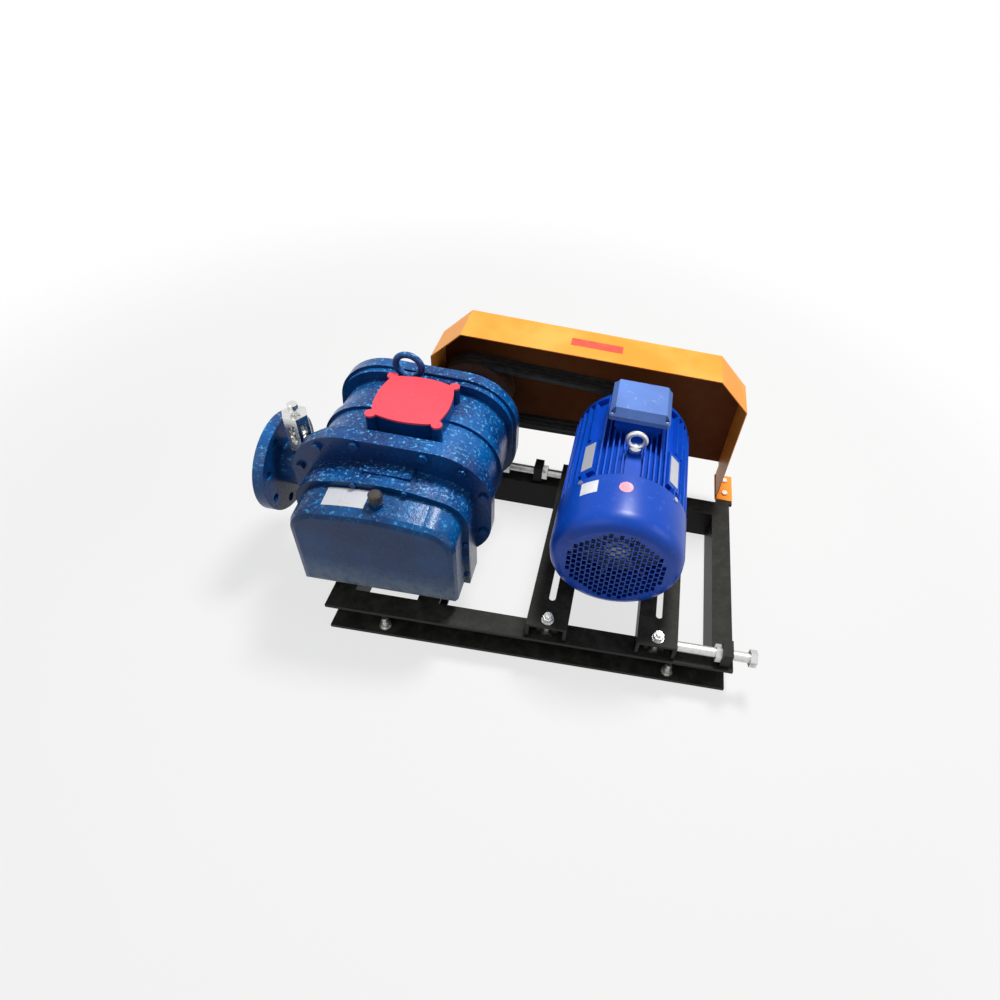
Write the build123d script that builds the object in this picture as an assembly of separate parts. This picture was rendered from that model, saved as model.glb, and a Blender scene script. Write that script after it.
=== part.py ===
from build123d import *
import math
import os

# Three-lobe Roots vacuum pump with its motor, belt drive and belt guard on a channel skid.
# Working frame, in mm: X runs along the skid from its left end, Y from the front lip of the
# skid to the back, Z up from the floor. Every piece is moved to the row frame when it is
# written: the origin is the centre of the footprint, on the floor.

# ---------------------------------------------------------------- driving sizes
# skid, all of one channel section laid on edge
skid_length = 805.0
channel_h = 80.0
channel_flange = 43.0
channel_web = 5.0
channel_flange_t = 8.0
rear_beam_y = 406.0
middle_beam_x = 165.0
floor_gap = 0.5
anchor_spacing = 580.0
anchor_x0 = 104.0

# pump: two shafts side by side, the right one driven
pump_x = 104.0
axis_z = 258.0
shaft_distance = 120.0
lobes = 3
rotor_tip_gap = 0.3
rotor_mesh_gap = 0.35
rotor_end_gap = 0.2
plate_front_y = 140.0
plate_t = 25.0
casing_y0 = plate_front_y + plate_t
casing_length = 192.0
casing_y1 = casing_y0 + casing_length
plate_half_w = 184.0
plate_half_h = 140.0
plate_corner = 108.0
barrel_half_w = 170.0
barrel_half_h = 115.0
barrel_corner = 102.0
foot_half_spacing = 82.5
foot_bolt_inset = 43.0

# inlet port on top
port_x = 112.0
port_y = 258.0
port_top_z = 408.0
port_hole_x = 84.0
port_hole_y = 92.0
port_ear_x = 60.0
port_ear_y = 57.0
port_bow = 10.0
cover_t = 4.0

# gearbox on the front plate
gearbox_x = 102.0
gearbox_half_w = 147.0
gearbox_low_z = 113.0
gearbox_front_y = 28.0
gearbox_seam_y = 95.0
gearbox_wall = 7.0
gear_module = 4.0
gear_teeth = 30
gear_backlash = 0.3
gear_y0 = 104.0
gear_width = 26.0

# bearings, by their catalogue sizes: bore, outside, width
pump_bearing = (35.0, 72.0, 17.0)
motor_bearing = (40.0, 90.0, 23.0)

# discharge spool, 80 mm nominal bore
discharge_y = 212.0
discharge_z = 234.0
discharge_face_x = -152.0
flange_od = 200.0
flange_t = 20.0
flange_pcd = 160.0
flange_holes = 8
flange_hole_d = 18.0
pipe_od = 89.0
pipe_id = 81.0

# relief valve on the spool
valve_x = -98.0
valve_base_z = 277.0
valve_af = 41.0
valve_top_z = 368.0
valve_stem_d = 8.0
valve_lift = 5.0

# motor, 132 frame
motor_x = 536.0
motor_z = 255.0
motor_foot_a = 216.0
motor_foot_b = 140.0
motor_foot_y = 233.0
cowl_gap = 1.2
cowl_face_y = 70.0
cowl_edge_y = 88.6
cowl_rear_y = 189.0
cowl_skin = 2.5
frame_y0 = 187.0
frame_y1 = 430.0
frame_r = 113.0
frame_wall = 8.0
fin_h = 14.0
shield_face_y = 462.0
motor_shaft_end_y = 542.0
motor_shaft_d = 38.0
air_gap = 0.5

# slide rails and jacking screws
rail_top_z = 123.0
rail_w = 80.0
rail_wall = 7.0
rail_y0 = 4.0
rail_y1 = 445.0
slide_travel = 15.0
jack_d = 20.0
jack_z = 102.0
front_jack_y = 23.0
rear_jack_y = 428.0
thread_gap = 0.3

# belt drive
belt_count = 3
belt_pitch_spacing = 15.0
belt_top_w = 12.7
belt_h = 10.0
belt_gap = 0.35
belt_plane_y = 508.0
pulley_w = 50.0
pump_pulley_pd = 160.0
motor_pulley_pd = 140.0

# guard
guard_x0 = 76.0
guard_x1 = 772.0
guard_y0 = 461.0
guard_y1 = 559.0
guard_top_z = 430.0
guard_low_z = 116.0
guard_t = 2.0
guard_foot_z = 84.0

# fits and clearances
shaft_gap = 0.05
stem_gap = 0.35
bolt_gap = 0.5

stator_r = frame_r - frame_wall
fin_r = frame_r + fin_h
cowl_r = fin_r + cowl_gap
drive_x = pump_x + shaft_distance / 2
driven_x = pump_x - shaft_distance / 2
motor_jack_end_x = 846.0
ORIGIN = Vector((discharge_face_x + motor_jack_end_x) / 2, guard_y1 / 2, 0)
NODES = {}


# ---------------------------------------------------------------- helpers
def keep(name, shape):
    """Files one finished node, moved from the working frame to the row frame."""
    NODES[name] = Pos(-ORIGIN.X, -ORIGIN.Y, 0) * shape


def group(shapes):
    """Holds several separate solids as one node."""
    solids = []
    for shape in shapes:
        solids.extend(shape.solids())
    return Compound(children=solids)


def block(x0, x1, y0, y1, z0, z1):
    return Pos((x0 + x1) / 2, (y0 + y1) / 2, (z0 + z1) / 2) * Box(x1 - x0, y1 - y0, z1 - z0)


MIN = (Align.CENTER, Align.CENTER, Align.MIN)


def rod_x(x0, x1, y, z, r):
    return Pos(x0, y, z) * Rot(0, 90, 0) * Cylinder(r, x1 - x0, align=MIN)


def rod_y(x, y0, y1, z, r):
    return Pos(x, y0, z) * Rot(-90, 0, 0) * Cylinder(r, y1 - y0, align=MIN)


def rod_z(x, y, z0, z1, r):
    return Pos(x, y, z0) * Cylinder(r, z1 - z0, align=MIN)


def hexagon(across_flats, height):
    return extrude(RegularPolygon(across_flats / 2, 6, major_radius=False), height)


def hex_z(x, y, z0, z1, across_flats):
    return Pos(x, y, z0) * hexagon(across_flats, z1 - z0)


def hex_x(x0, x1, y, z, across_flats):
    return Pos(x0, y, z) * Rot(0, 90, 0) * hexagon(across_flats, x1 - x0)


def hex_y(x, y0, y1, z, across_flats):
    return Pos(x, y0, z) * Rot(-90, 0, 0) * hexagon(across_flats, y1 - y0)


def turned_y(points, x, z):
    """Revolves (y, radius) points about an axis along Y."""
    line = Polyline(*[(r, y) for y, r in points], close=True)
    return Pos(x, 0, z) * revolve(make_face(line), Axis.Y)


def turned_x(points, y, z):
    """Revolves (x, radius) points about an axis along X."""
    line = Polyline(*[(x, r) for x, r in points], close=True)
    return Pos(0, y, z) * revolve(make_face(line), Axis.X)


def turned_z(points, x, y):
    """Revolves (z, radius) points about an axis along Z."""
    line = Plane.XZ * Polyline(*[(r, z) for z, r in points], close=True)
    return Pos(x, y, 0) * revolve(make_face(line), Axis.Z)


def upright(sketch, y0, y1):
    """Stands a sketch drawn in (x, z) up and extrudes it from y0 to y1."""
    return Pos(0, y1, 0) * extrude(Plane.XZ * sketch, y1 - y0)


def screw_y(x, z, y_face, head_af, head_h, shank_r, shank_l, direction):
    """Hex screw along Y: its head stands out from y_face, against the direction it is driven."""
    if direction > 0:
        return hex_y(x, y_face - head_h, y_face, z, head_af) + rod_y(x, y_face, y_face + shank_l, z, shank_r)
    return hex_y(x, y_face, y_face + head_h, z, head_af) + rod_y(x, y_face - shank_l, y_face, z, shank_r)


def eye_bolt(x, y, seat_z, ring_od, wire_r, shank_r, shank_l):
    """Lifting eye bolt with its ring facing the front."""
    ring_r = ring_od / 2 - wire_r
    ring_z = seat_z + ring_od / 2
    ring = Pos(x, y, ring_z) * Rot(90, 0, 0) * Torus(ring_r, wire_r)
    collar = turned_z(
        [
            (seat_z, 0),
            (seat_z, wire_r * 2.3),
            (seat_z + wire_r * 0.8, wire_r * 2.3),
            (seat_z + wire_r * 1.7, wire_r * 0.9),
            (seat_z + wire_r * 1.7, 0),
        ],
        x,
        y,
    )
    return ring + collar + rod_z(x, y, seat_z - shank_l, seat_z, shank_r)


# ---------------------------------------------------------------- skid
def channel_section(open_side):
    """Channel standing on edge in a (across, up) sketch, its web at 0, open towards +across."""
    web = Pos(channel_web / 2, channel_h / 2) * Rectangle(channel_web, channel_h)
    low = Pos(channel_flange / 2, channel_flange_t / 2) * Rectangle(channel_flange, channel_flange_t)
    top = Pos(0, channel_h - channel_flange_t) * low
    section = web + low + top
    if open_side < 0:
        section = mirror(section, Plane.YZ)
    return section


def channel_along_x(x0, x1, web_y, open_side):
    plane = Plane(origin=(x0, web_y, 0), x_dir=(0, 1, 0), z_dir=(1, 0, 0))
    return extrude(plane * channel_section(open_side), x1 - x0)


def channel_along_y(y0, y1, web_x, open_side):
    plane = Plane(origin=(web_x, y1, 0), x_dir=(1, 0, 0), z_dir=(0, -1, 0))
    return extrude(plane * channel_section(open_side), y1 - y0)


rail_centres = [motor_x - motor_foot_a / 2, motor_x + motor_foot_a / 2]
hold_down_y = [20.0, 428.0]
anchor_y = [18.0, 431.0]
anchor_x = [anchor_x0, anchor_x0 + anchor_spacing]
foot_bolt_x = [pump_x - foot_half_spacing, pump_x + foot_half_spacing]
foot_bolt_y = [plate_front_y + foot_bolt_inset, casing_y1 + plate_t - foot_bolt_inset]


def beam_holes(y_slot, y_anchor):
    """Slots for the rail hold-down bolts and holes for the anchors of one long beam."""
    cuts = []
    for x in rail_centres:
        slot = Pos(x, y_slot, channel_h - 12) * extrude(SlotOverall(2 * slide_travel + 16, 13), 16)
        cuts.append(slot)
    for x in anchor_x:
        cuts.append(rod_z(x, y_anchor, -1, channel_flange_t + 1, 6.5))
    return cuts


front_beam = channel_along_x(0, skid_length, channel_flange, -1)
front_beam -= beam_holes(hold_down_y[0], anchor_y[0])
keep("front_beam", front_beam)

rear_beam = channel_along_x(0, skid_length, rear_beam_y, 1)
rear_beam -= beam_holes(hold_down_y[1], anchor_y[1])
keep("rear_beam", rear_beam)

left_beam = channel_along_y(channel_flange, rear_beam_y, channel_flange, -1)
middle_beam = channel_along_y(channel_flange, rear_beam_y, middle_beam_x, 1)
right_beam = channel_along_y(channel_flange, rear_beam_y, skid_length - channel_flange, 1)
for hole_y in foot_bolt_y:
    left_beam -= rod_z(foot_bolt_x[0], hole_y, 60, 90, 6.5)
    middle_beam -= rod_z(foot_bolt_x[1], hole_y, 60, 90, 6.5)
keep("cross_beams", group([left_beam, middle_beam, right_beam]))

anchors = []
for ax in anchor_x:
    for ay in anchor_y:
        stud = rod_z(ax, ay, floor_gap, 38, 6)
        washer = rod_z(ax, ay, channel_flange_t, channel_flange_t + 2.5, 12) - rod_z(ax, ay, 5, 15, 6)
        nut = hex_z(ax, ay, channel_flange_t + 2.5, channel_flange_t + 13, 18) - rod_z(ax, ay, 5, 30, 6)
        anchors.extend([stud, washer, nut])
keep("anchor_bolts", group(anchors))

# jack lugs stand on the long beams; the guard brackets reach out behind the rear beam
guard_bracket_y1 = 543.0
guard_foot_reach = 40.0
thread_r = jack_d / 2 + thread_gap
front_lug = block(775, 795, 5, 41, channel_h, 125) - rod_x(770, 800, front_jack_y, jack_z, thread_r)
rear_lug = block(322, 342, 411, 445, channel_h, 125) - rod_x(318, 346, rear_jack_y, jack_z, thread_r)
rear_edge_y = rear_beam_y + channel_flange
foot_left = (guard_x0 - guard_foot_reach, guard_x0)
foot_right = (guard_x1, guard_x1 + guard_foot_reach)
foot_screw_y = [rear_edge_y + 30, rear_edge_y + 74]
brackets = []
for side_x0, side_x1 in (foot_left, foot_right):
    plate = block(side_x0, side_x1, rear_edge_y, guard_bracket_y1, channel_h - 8, channel_h)
    bracket_x = (side_x0 + side_x1) / 2
    web = block(bracket_x - 3, bracket_x + 3, rear_edge_y, rear_edge_y + 22, 30, channel_h)
    for sy in foot_screw_y:
        plate -= rod_z(bracket_x, sy, 60, 90, 4.3)
    brackets.append(plate + web)
keep("welded_lugs", group([front_lug, rear_lug] + brackets))

front_lock_nut = hex_x(763, 775, front_jack_y, jack_z, 30) - rod_x(760, 780, front_jack_y, jack_z, thread_r)
rear_lock_nut = hex_x(342, 354, rear_jack_y, jack_z, 30) - rod_x(340, 360, rear_jack_y, jack_z, thread_r)
keep("jack_lock_nuts", group([front_lock_nut, rear_lock_nut]))


# ---------------------------------------------------------------- pump casing and plates
def plate_outline(grow=0.0):
    """Rounded outline of the end plates and of the casing's flanges, in (x, z)."""
    sketch = RectangleRounded(2 * (plate_half_w + grow), 2 * (plate_half_h + grow), plate_corner + grow)
    return Pos(pump_x, axis_z) * sketch


def barrel_outline(grow=0.0):
    sketch = RectangleRounded(2 * (barrel_half_w + grow), 2 * (barrel_half_h + grow), barrel_corner + grow)
    return Pos(pump_x, axis_z) * sketch


def port_outline(grow=0.0):
    """Port face with four bowed sides and an ear at each corner, in (x, y) about its centre."""
    ex = port_ear_x - 2 + grow
    ey = port_ear_y - 2 + grow
    corners = [(-ex, -ey), (ex, -ey), (ex, ey), (-ex, ey)]
    middles = [(0, -ey - port_bow), (ex + port_bow, 0), (0, ey + port_bow), (-ex - port_bow, 0)]
    sides = []
    for i in range(4):
        sides.append(ThreePointArc(corners[i], middles[i], corners[(i + 1) % 4]))
    sketch = make_face(sides)
    for sx in (-1, 1):
        for sy in (-1, 1):
            sketch += Pos(sx * port_ear_x, sy * port_ear_y) * Circle(9.5 + grow)
    return sketch


rotor_tip_r = shaft_distance / 2 * (1 + 1 / lobes)
casing_bore_r = rotor_tip_r + rotor_tip_gap
mid_y = (casing_y0 + casing_y1) / 2
casing = upright(barrel_outline(), casing_y0, casing_y1)
for rib_y0, rib_y1, rib_out in ((casing_y0, casing_y0 + 13, -6.0), (casing_y1 - 13, casing_y1, -6.0)):
    casing += upright(plate_outline(rib_out), rib_y0, rib_y1)
casing += upright(barrel_outline(6), mid_y - 9, mid_y + 9)
casing += Pos(port_x, port_y, axis_z + 60) * extrude(port_outline(), port_top_z - axis_z - 60)
casing += rod_x(-78, -20, discharge_y, discharge_z, 45.5)
eye_x = 76.0
eye_y = 338.0
eye_seat_z = 392.0
casing += rod_z(eye_x, eye_y, axis_z + 90, eye_seat_z, 15)
casing -= rod_y(driven_x, casing_y0 - 1, casing_y1 + 1, axis_z, casing_bore_r)
casing -= rod_y(drive_x, casing_y0 - 1, casing_y1 + 1, axis_z, casing_bore_r)
casing -= block(pump_x - 30, pump_x + 30, casing_y0 + 30, casing_y1 - 30, axis_z - 96, axis_z)
port_hole = Pos(port_x, port_y, axis_z) * extrude(RectangleRounded(port_hole_x, port_hole_y, 12), 200)
casing -= port_hole
casing -= rod_x(-67, driven_x, discharge_y, discharge_z, pipe_id / 2 + 1.5)
casing -= rod_x(-200, -66, discharge_y, discharge_z, pipe_od / 2 - 2)
for sx in (-1, 1):
    for sy in (-1, 1):
        tap_x = port_x + sx * port_ear_x
        tap_y = port_y + sy * port_ear_y
        casing -= rod_z(tap_x, tap_y, port_top_z - 24, port_top_z + 1, 5)
casing -= rod_z(eye_x, eye_y, eye_seat_z - 24, eye_seat_z + 1, 8)

plate_screws = []
for sx, sz in ((0.34, 0.93), (0.72, 0.78), (0.94, 0.36), (0.94, -0.36), (0.72, -0.78), (0.3, -0.93)):
    for side in (-1, 1):
        plate_screws.append((pump_x + side * sx * (plate_half_w - 4), axis_z + sz * (plate_half_h - 4)))
screw_r = 5.0
screw_l = 8.0
for px, pz in plate_screws:
    casing -= rod_y(px, casing_y0 - 1, casing_y0 + screw_l + 1, pz, screw_r)
    casing -= rod_y(px, casing_y1 - screw_l - 1, casing_y1 + 1, pz, screw_r)
keep("pump_casing", casing)

bearing_r = pump_bearing[1] / 2
bearing_w = pump_bearing[2]
shaft_r = pump_bearing[0] / 2
seal_r = 26.0


def end_plate(y0, y1, bearing_y, seal_y, foot_y0, foot_y1):
    """End plate with two feet, two bearing seats and two seal seats."""
    plate = upright(plate_outline(), y0, y1)
    for bolt_x in foot_bolt_x:
        plate += block(bolt_x - 33, bolt_x + 33, foot_y0, foot_y1, channel_h, channel_h + 20)
        plate += block(bolt_x - 33, bolt_x + 33, y0, y1, channel_h, axis_z - 80)
    for shaft_x in (driven_x, drive_x):
        plate -= rod_y(shaft_x, bearing_y[0], bearing_y[1], axis_z, bearing_r)
        plate -= rod_y(shaft_x, seal_y[0], seal_y[1], axis_z, seal_r)
        plate -= rod_y(shaft_x, y0 - 1, y1 + 1, axis_z, shaft_r + 3)
    for px, pz in plate_screws:
        plate -= rod_y(px, y0 - 1, y1 + 1, pz, screw_r)
    return plate


front_seal_y = (casing_y0 - 6, casing_y0 - 0.5)
rear_seal_y = (casing_y1 + 0.5, casing_y1 + 6)
front_bearing_y = (casing_y0 - 6 - bearing_w, casing_y0 - 6)
rear_bearing_y = (casing_y1 + 6, casing_y1 + 6 + bearing_w)
foot_depth = 62.0
front_foot_y1 = plate_front_y + foot_depth
front_pocket_y = (plate_front_y - 1, front_bearing_y[1])
front_plate = end_plate(plate_front_y, casing_y0, front_pocket_y, front_seal_y, plate_front_y, front_foot_y1)
rear_plate_y1 = casing_y1 + plate_t
rear_foot_y0 = rear_plate_y1 - foot_depth
rear_pocket_y = (rear_bearing_y[0], rear_plate_y1 + 1)
rear_plate = end_plate(casing_y1, rear_plate_y1, rear_pocket_y, rear_seal_y, rear_foot_y0, rear_plate_y1)
for bolt_x in foot_bolt_x:
    front_plate -= rod_z(bolt_x, foot_bolt_y[0], 70, 110, 6.5)
    rear_plate -= rod_z(bolt_x, foot_bolt_y[1], 70, 110, 6.5)

# gearbox screws go through the cover flange and the housing ring into the front plate
gearbox_side_screw = gearbox_half_w + 4
gearbox_screws = []
for gx, gz in ((gearbox_side_screw, 135), (gearbox_side_screw, 225), (119, 310), (45, 343), (80, 107)):
    gearbox_screws.extend([(-gx, gz), (gx, gz)])
for gx, gz in gearbox_screws:
    front_plate -= rod_y(gearbox_x + gx, plate_front_y - 1, plate_front_y + 14, gz, 3)
cap_r = 50.0
cap_screws = [(42 * math.cos(math.radians(a)), 42 * math.sin(math.radians(a))) for a in (45, 135, 225, 315)]
for shaft_x in (driven_x, drive_x):
    for dx, dz in cap_screws:
        rear_plate -= rod_y(shaft_x + dx, rear_plate_y1 - 14, rear_plate_y1 + 1, axis_z + dz, 3.5)
keep("front_end_plate", front_plate)
keep("rear_end_plate", rear_plate)

screws = []
for px, pz in plate_screws:
    screws.append(screw_y(px, pz, plate_front_y, 16, 7, screw_r, plate_t + screw_l, 1))
    screws.append(screw_y(px, pz, rear_plate_y1, 16, 7, screw_r, plate_t + screw_l, -1))
keep("end_plate_screws", group(screws))

foot_bolts = []
for bolt_x in foot_bolt_x:
    for bolt_y in foot_bolt_y:
        seat = channel_h + 20
        washer = rod_z(bolt_x, bolt_y, seat, seat + 2.5, 12) - rod_z(bolt_x, bolt_y, seat - 1, seat + 4, 6)
        bolt = hex_z(bolt_x, bolt_y, seat + 2.5, seat + 10, 18) + rod_z(bolt_x, bolt_y, 56, seat + 3, 6)
        nut = hex_z(bolt_x, bolt_y, 61, 72, 18) - rod_z(bolt_x, bolt_y, 55, 80, 6)
        foot_bolts.extend([washer, bolt, nut])
keep("pump_foot_bolts", group(foot_bolts))
keep("pump_eye_bolt", eye_bolt(eye_x, eye_y, eye_seat_z, 63, 6.5, 8, 22))


# ---------------------------------------------------------------- rotors, shafts and bearings
def rotor_outline(shaft_x):
    """Conjugate cycloid lobes: epicycloid tips and hypocycloid roots on one pitch circle."""
    pitch_r = shaft_distance / 2
    roll_r = pitch_r / (2 * lobes)
    steps = 9
    half = math.pi / (2 * lobes)
    points = []
    for lobe in range(lobes):
        start = lobe * 2 * math.pi / lobes - half
        for i in range(steps):
            a = 2 * half * i / steps
            k = (pitch_r + roll_r) / roll_r
            u = (pitch_r + roll_r) * math.cos(a) - roll_r * math.cos(k * a)
            v = (pitch_r + roll_r) * math.sin(a) - roll_r * math.sin(k * a)
            points.append((u, v, start))
        for i in range(steps):
            a = 2 * half * i / steps
            k = (pitch_r - roll_r) / roll_r
            u = (pitch_r - roll_r) * math.cos(a) + roll_r * math.cos(k * a)
            v = (pitch_r - roll_r) * math.sin(a) - roll_r * math.sin(k * a)
            points.append((u, v, start + 2 * half))
    turned = []
    for u, v, t in points:
        turned.append((u * math.cos(t) - v * math.sin(t), u * math.sin(t) + v * math.cos(t)))
    inset = []
    count = len(turned)
    for i in range(count):
        before = turned[i - 1]
        after = turned[(i + 1) % count]
        tx = after[0] - before[0]
        ty = after[1] - before[1]
        size = math.hypot(tx, ty)
        shift = rotor_mesh_gap / 2
        inset.append((turned[i][0] - shift * ty / size, turned[i][1] + shift * tx / size))
    face = make_face(Spline(*inset, periodic=True))
    return Pos(shaft_x, axis_z) * face


rotor_bore_r = 20.0
for rotor_name, shaft_x in (("drive_rotor", drive_x), ("driven_rotor", driven_x)):
    lobe_body = upright(rotor_outline(shaft_x), casing_y0 + rotor_end_gap, casing_y1 - rotor_end_gap)
    lobe_body -= rod_y(shaft_x, casing_y0 - 1, casing_y1 + 1, axis_z, rotor_bore_r)
    keep(rotor_name, lobe_body)

gear_seat_r = 15.0
nut_y0 = gear_y0 - 12
shaft_front_y = nut_y0 - 6


def pump_shaft(shaft_x, tail):
    """Stepped shaft: thread and gear seat in front, bearing seats, rotor seat, then its tail."""
    front = [
        (shaft_front_y, 0),
        (shaft_front_y, 12),
        (gear_y0, 12),
        (gear_y0, gear_seat_r),
        (gear_y0 + gear_width, gear_seat_r),
        (gear_y0 + gear_width, shaft_r),
        (casing_y0 + rotor_end_gap, shaft_r),
        (casing_y0 + rotor_end_gap, rotor_bore_r),
        (casing_y1 - rotor_end_gap, rotor_bore_r),
        (casing_y1 - rotor_end_gap, shaft_r),
    ]
    shaft = turned_y(front + tail, shaft_x, axis_z)
    nut = hex_y(shaft_x, nut_y0, gear_y0, axis_z, 36) - rod_y(shaft_x, nut_y0 - 1, gear_y0 + 1, axis_z, 12)
    return group([shaft, nut])


pulley_y0 = belt_plane_y - pulley_w / 2
pulley_y1 = belt_plane_y + pulley_w / 2
drive_tail_r = 16.0
short_tail_y = rear_bearing_y[1] + 1
drive_tail = [
    (rear_plate_y1 + 34, shaft_r),
    (rear_plate_y1 + 34, drive_tail_r),
    (pulley_y1 - 2, drive_tail_r),
    (pulley_y1 - 2, 0),
]
keep("drive_shaft", pump_shaft(drive_x, drive_tail))
keep("driven_shaft", pump_shaft(driven_x, [(short_tail_y, shaft_r), (short_tail_y, 0)]))


def timing_gear(shaft_x, turn):
    """Spur gear with involute flanks, a hub and a web."""
    pitch_r = gear_module * gear_teeth / 2
    base_r = pitch_r * math.cos(math.radians(20))
    tip_r = pitch_r + gear_module
    root_r = pitch_r - 1.25 * gear_module

    def involute(r):
        phi = math.acos(base_r / r)
        return math.tan(phi) - phi

    flank_radii = (base_r + 0.3, pitch_r, tip_r)
    half_at_pitch = math.pi / (2 * gear_teeth) - gear_backlash / (2 * pitch_r)
    points = []
    for tooth in range(gear_teeth):
        middle = turn + tooth * 2 * math.pi / gear_teeth
        halves = [(r, half_at_pitch + involute(pitch_r) - involute(r)) for r in flank_radii]
        halves = [(root_r, halves[0][1] + 0.004)] + halves
        for r, h in halves:
            points.append((r * math.cos(middle - h), r * math.sin(middle - h)))
        for r, h in reversed(halves):
            points.append((r * math.cos(middle + h), r * math.sin(middle + h)))
    outline = Pos(shaft_x, axis_z) * make_face(Polyline(*points, close=True))
    gear = upright(outline, gear_y0, gear_y0 + gear_width)
    recess = [(gear_y0 - 1, 24), (gear_y0 - 1, 50), (gear_y0 + 8, 48), (gear_y0 + 8, 26)]
    gear -= turned_y(recess, shaft_x, axis_z)
    gear -= rod_y(shaft_x, gear_y0 - 1, gear_y0 + gear_width + 1, axis_z, gear_seat_r)
    return gear


keep("drive_timing_gear", timing_gear(drive_x, math.pi / gear_teeth))
keep("driven_timing_gear", timing_gear(driven_x, 0.0))


def bearing_outer(x, z, y0, size):
    """Outer ring of a deep-groove bearing with its two shields."""
    bore, outside, width = size
    mean = (bore + outside) / 4
    ring = [
        (y0, mean - 2.5),
        (y0, outside / 2),
        (y0 + width, outside / 2),
        (y0 + width, mean - 2.5),
        (y0 + width - 2, mean - 2.5),
        (y0 + width - 2, mean + 5),
        (y0 + 2, mean + 5),
        (y0 + 2, mean - 2.5),
    ]
    return turned_y(ring, x, z)


def bearing_inner(x, z, y0, size):
    bore, outside, width = size
    mean = (bore + outside) / 4
    ring = [(y0, bore / 2), (y0, mean - 3), (y0 + width, mean - 3), (y0 + width, bore / 2)]
    return turned_y(ring, x, z)


def shaft_seal(shaft_x, seal_y):
    """Plain ring for a lip seal round a pump shaft."""
    lip_r = shaft_r + 0.4
    ring = [(seal_y[0], lip_r), (seal_y[0], seal_r), (seal_y[1], seal_r), (seal_y[1], lip_r)]
    return turned_y(ring, shaft_x, axis_z)


outers = []
seals = []
for shaft_x in (driven_x, drive_x):
    outers.append(bearing_outer(shaft_x, axis_z, front_bearing_y[0], pump_bearing))
    outers.append(bearing_outer(shaft_x, axis_z, rear_bearing_y[0], pump_bearing))
    for seal_y in (front_seal_y, rear_seal_y):
        seals.append(shaft_seal(shaft_x, seal_y))
cap_y1 = rear_plate_y1 + 14
boss_y1 = rear_plate_y1 + 30
out_seal = (boss_y1 - 9, boss_y1 - 1)
seals.append(shaft_seal(drive_x, out_seal))
keep("pump_bearings", group(outers))
keep("shaft_seals", group(seals))
for inner_name, shaft_x in (("drive_bearing_inners", drive_x), ("driven_bearing_inners", driven_x)):
    front_inner = bearing_inner(shaft_x, axis_z, front_bearing_y[0], pump_bearing)
    rear_inner = bearing_inner(shaft_x, axis_z, rear_bearing_y[0], pump_bearing)
    keep(inner_name, group([front_inner, rear_inner]))

blind_cap = turned_y(
    [
        (rear_plate_y1, 0),
        (rear_plate_y1, cap_r),
        (cap_y1 - 3, cap_r),
        (cap_y1, cap_r - 3),
        (cap_y1, 0),
    ],
    driven_x,
    axis_z,
)
drive_cap = turned_y(
    [
        (rear_plate_y1, shaft_r + 0.6),
        (rear_plate_y1, cap_r),
        (cap_y1 - 3, cap_r),
        (cap_y1, cap_r - 3),
        (cap_y1, 34),
        (boss_y1, 32),
        (boss_y1, seal_r),
        (out_seal[0], seal_r),
        (out_seal[0], shaft_r + 0.6),
    ],
    drive_x,
    axis_z,
)
cap_bolts = []
for shaft_x in (driven_x, drive_x):
    for dx, dz in cap_screws:
        cut = rod_y(shaft_x + dx, rear_plate_y1 - 1, cap_y1 + 1, axis_z + dz, 3.5)
        if shaft_x == driven_x:
            blind_cap -= cut
        else:
            drive_cap -= cut
        cap_bolts.append(screw_y(shaft_x + dx, axis_z + dz, cap_y1, 12, 5, 3.5, 26, -1))
keep("bearing_caps", group([blind_cap, drive_cap]))


# ---------------------------------------------------------------- gearbox
def loaf_outline(half_w, low_z, shoulder_z, shoulder_x, shoulder_top_z, crown_z):
    """Flat floor, upright sides, round shoulders and a slightly crowned top, in (x, z)."""
    mid_x = shoulder_x + (half_w - shoulder_x) * 0.72
    mid_z = shoulder_z + (shoulder_top_z - shoulder_z) * 0.68
    lines = [
        Line((half_w, shoulder_z), (half_w, low_z)),
        Line((half_w, low_z), (-half_w, low_z)),
        Line((-half_w, low_z), (-half_w, shoulder_z)),
        ThreePointArc((-half_w, shoulder_z), (-mid_x, mid_z), (-shoulder_x, shoulder_top_z)),
        ThreePointArc((-shoulder_x, shoulder_top_z), (0, crown_z), (shoulder_x, shoulder_top_z)),
        ThreePointArc((shoulder_x, shoulder_top_z), (mid_x, mid_z), (half_w, shoulder_z)),
    ]
    return Pos(gearbox_x, 0) * make_face(lines)


def loaf(grow, y_front, front_inset):
    """Solid between the front face and the seam; the front edge is rounded by short steps."""
    sections = []
    steps = [(0, front_inset), (front_inset * 0.3, front_inset * 0.29), (front_inset, 0.0)]
    rise_per_mm = 11.0 / (gearbox_seam_y - gearbox_front_y)
    for dy, inset in steps + [(gearbox_seam_y - y_front, 0.0)]:
        y = y_front + dy
        lift = rise_per_mm * (y - gearbox_front_y)
        g = grow - inset
        half_w = gearbox_half_w + g
        top = 327 + lift + g
        sketch = loaf_outline(half_w, gearbox_low_z - g, 266 + lift / 2, 90 + g * 0.5, top - 9, top)
        sections.append(Pos(0, y, 0) * (Plane.XZ * sketch))
    return loft(sections, ruled=True)


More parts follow.
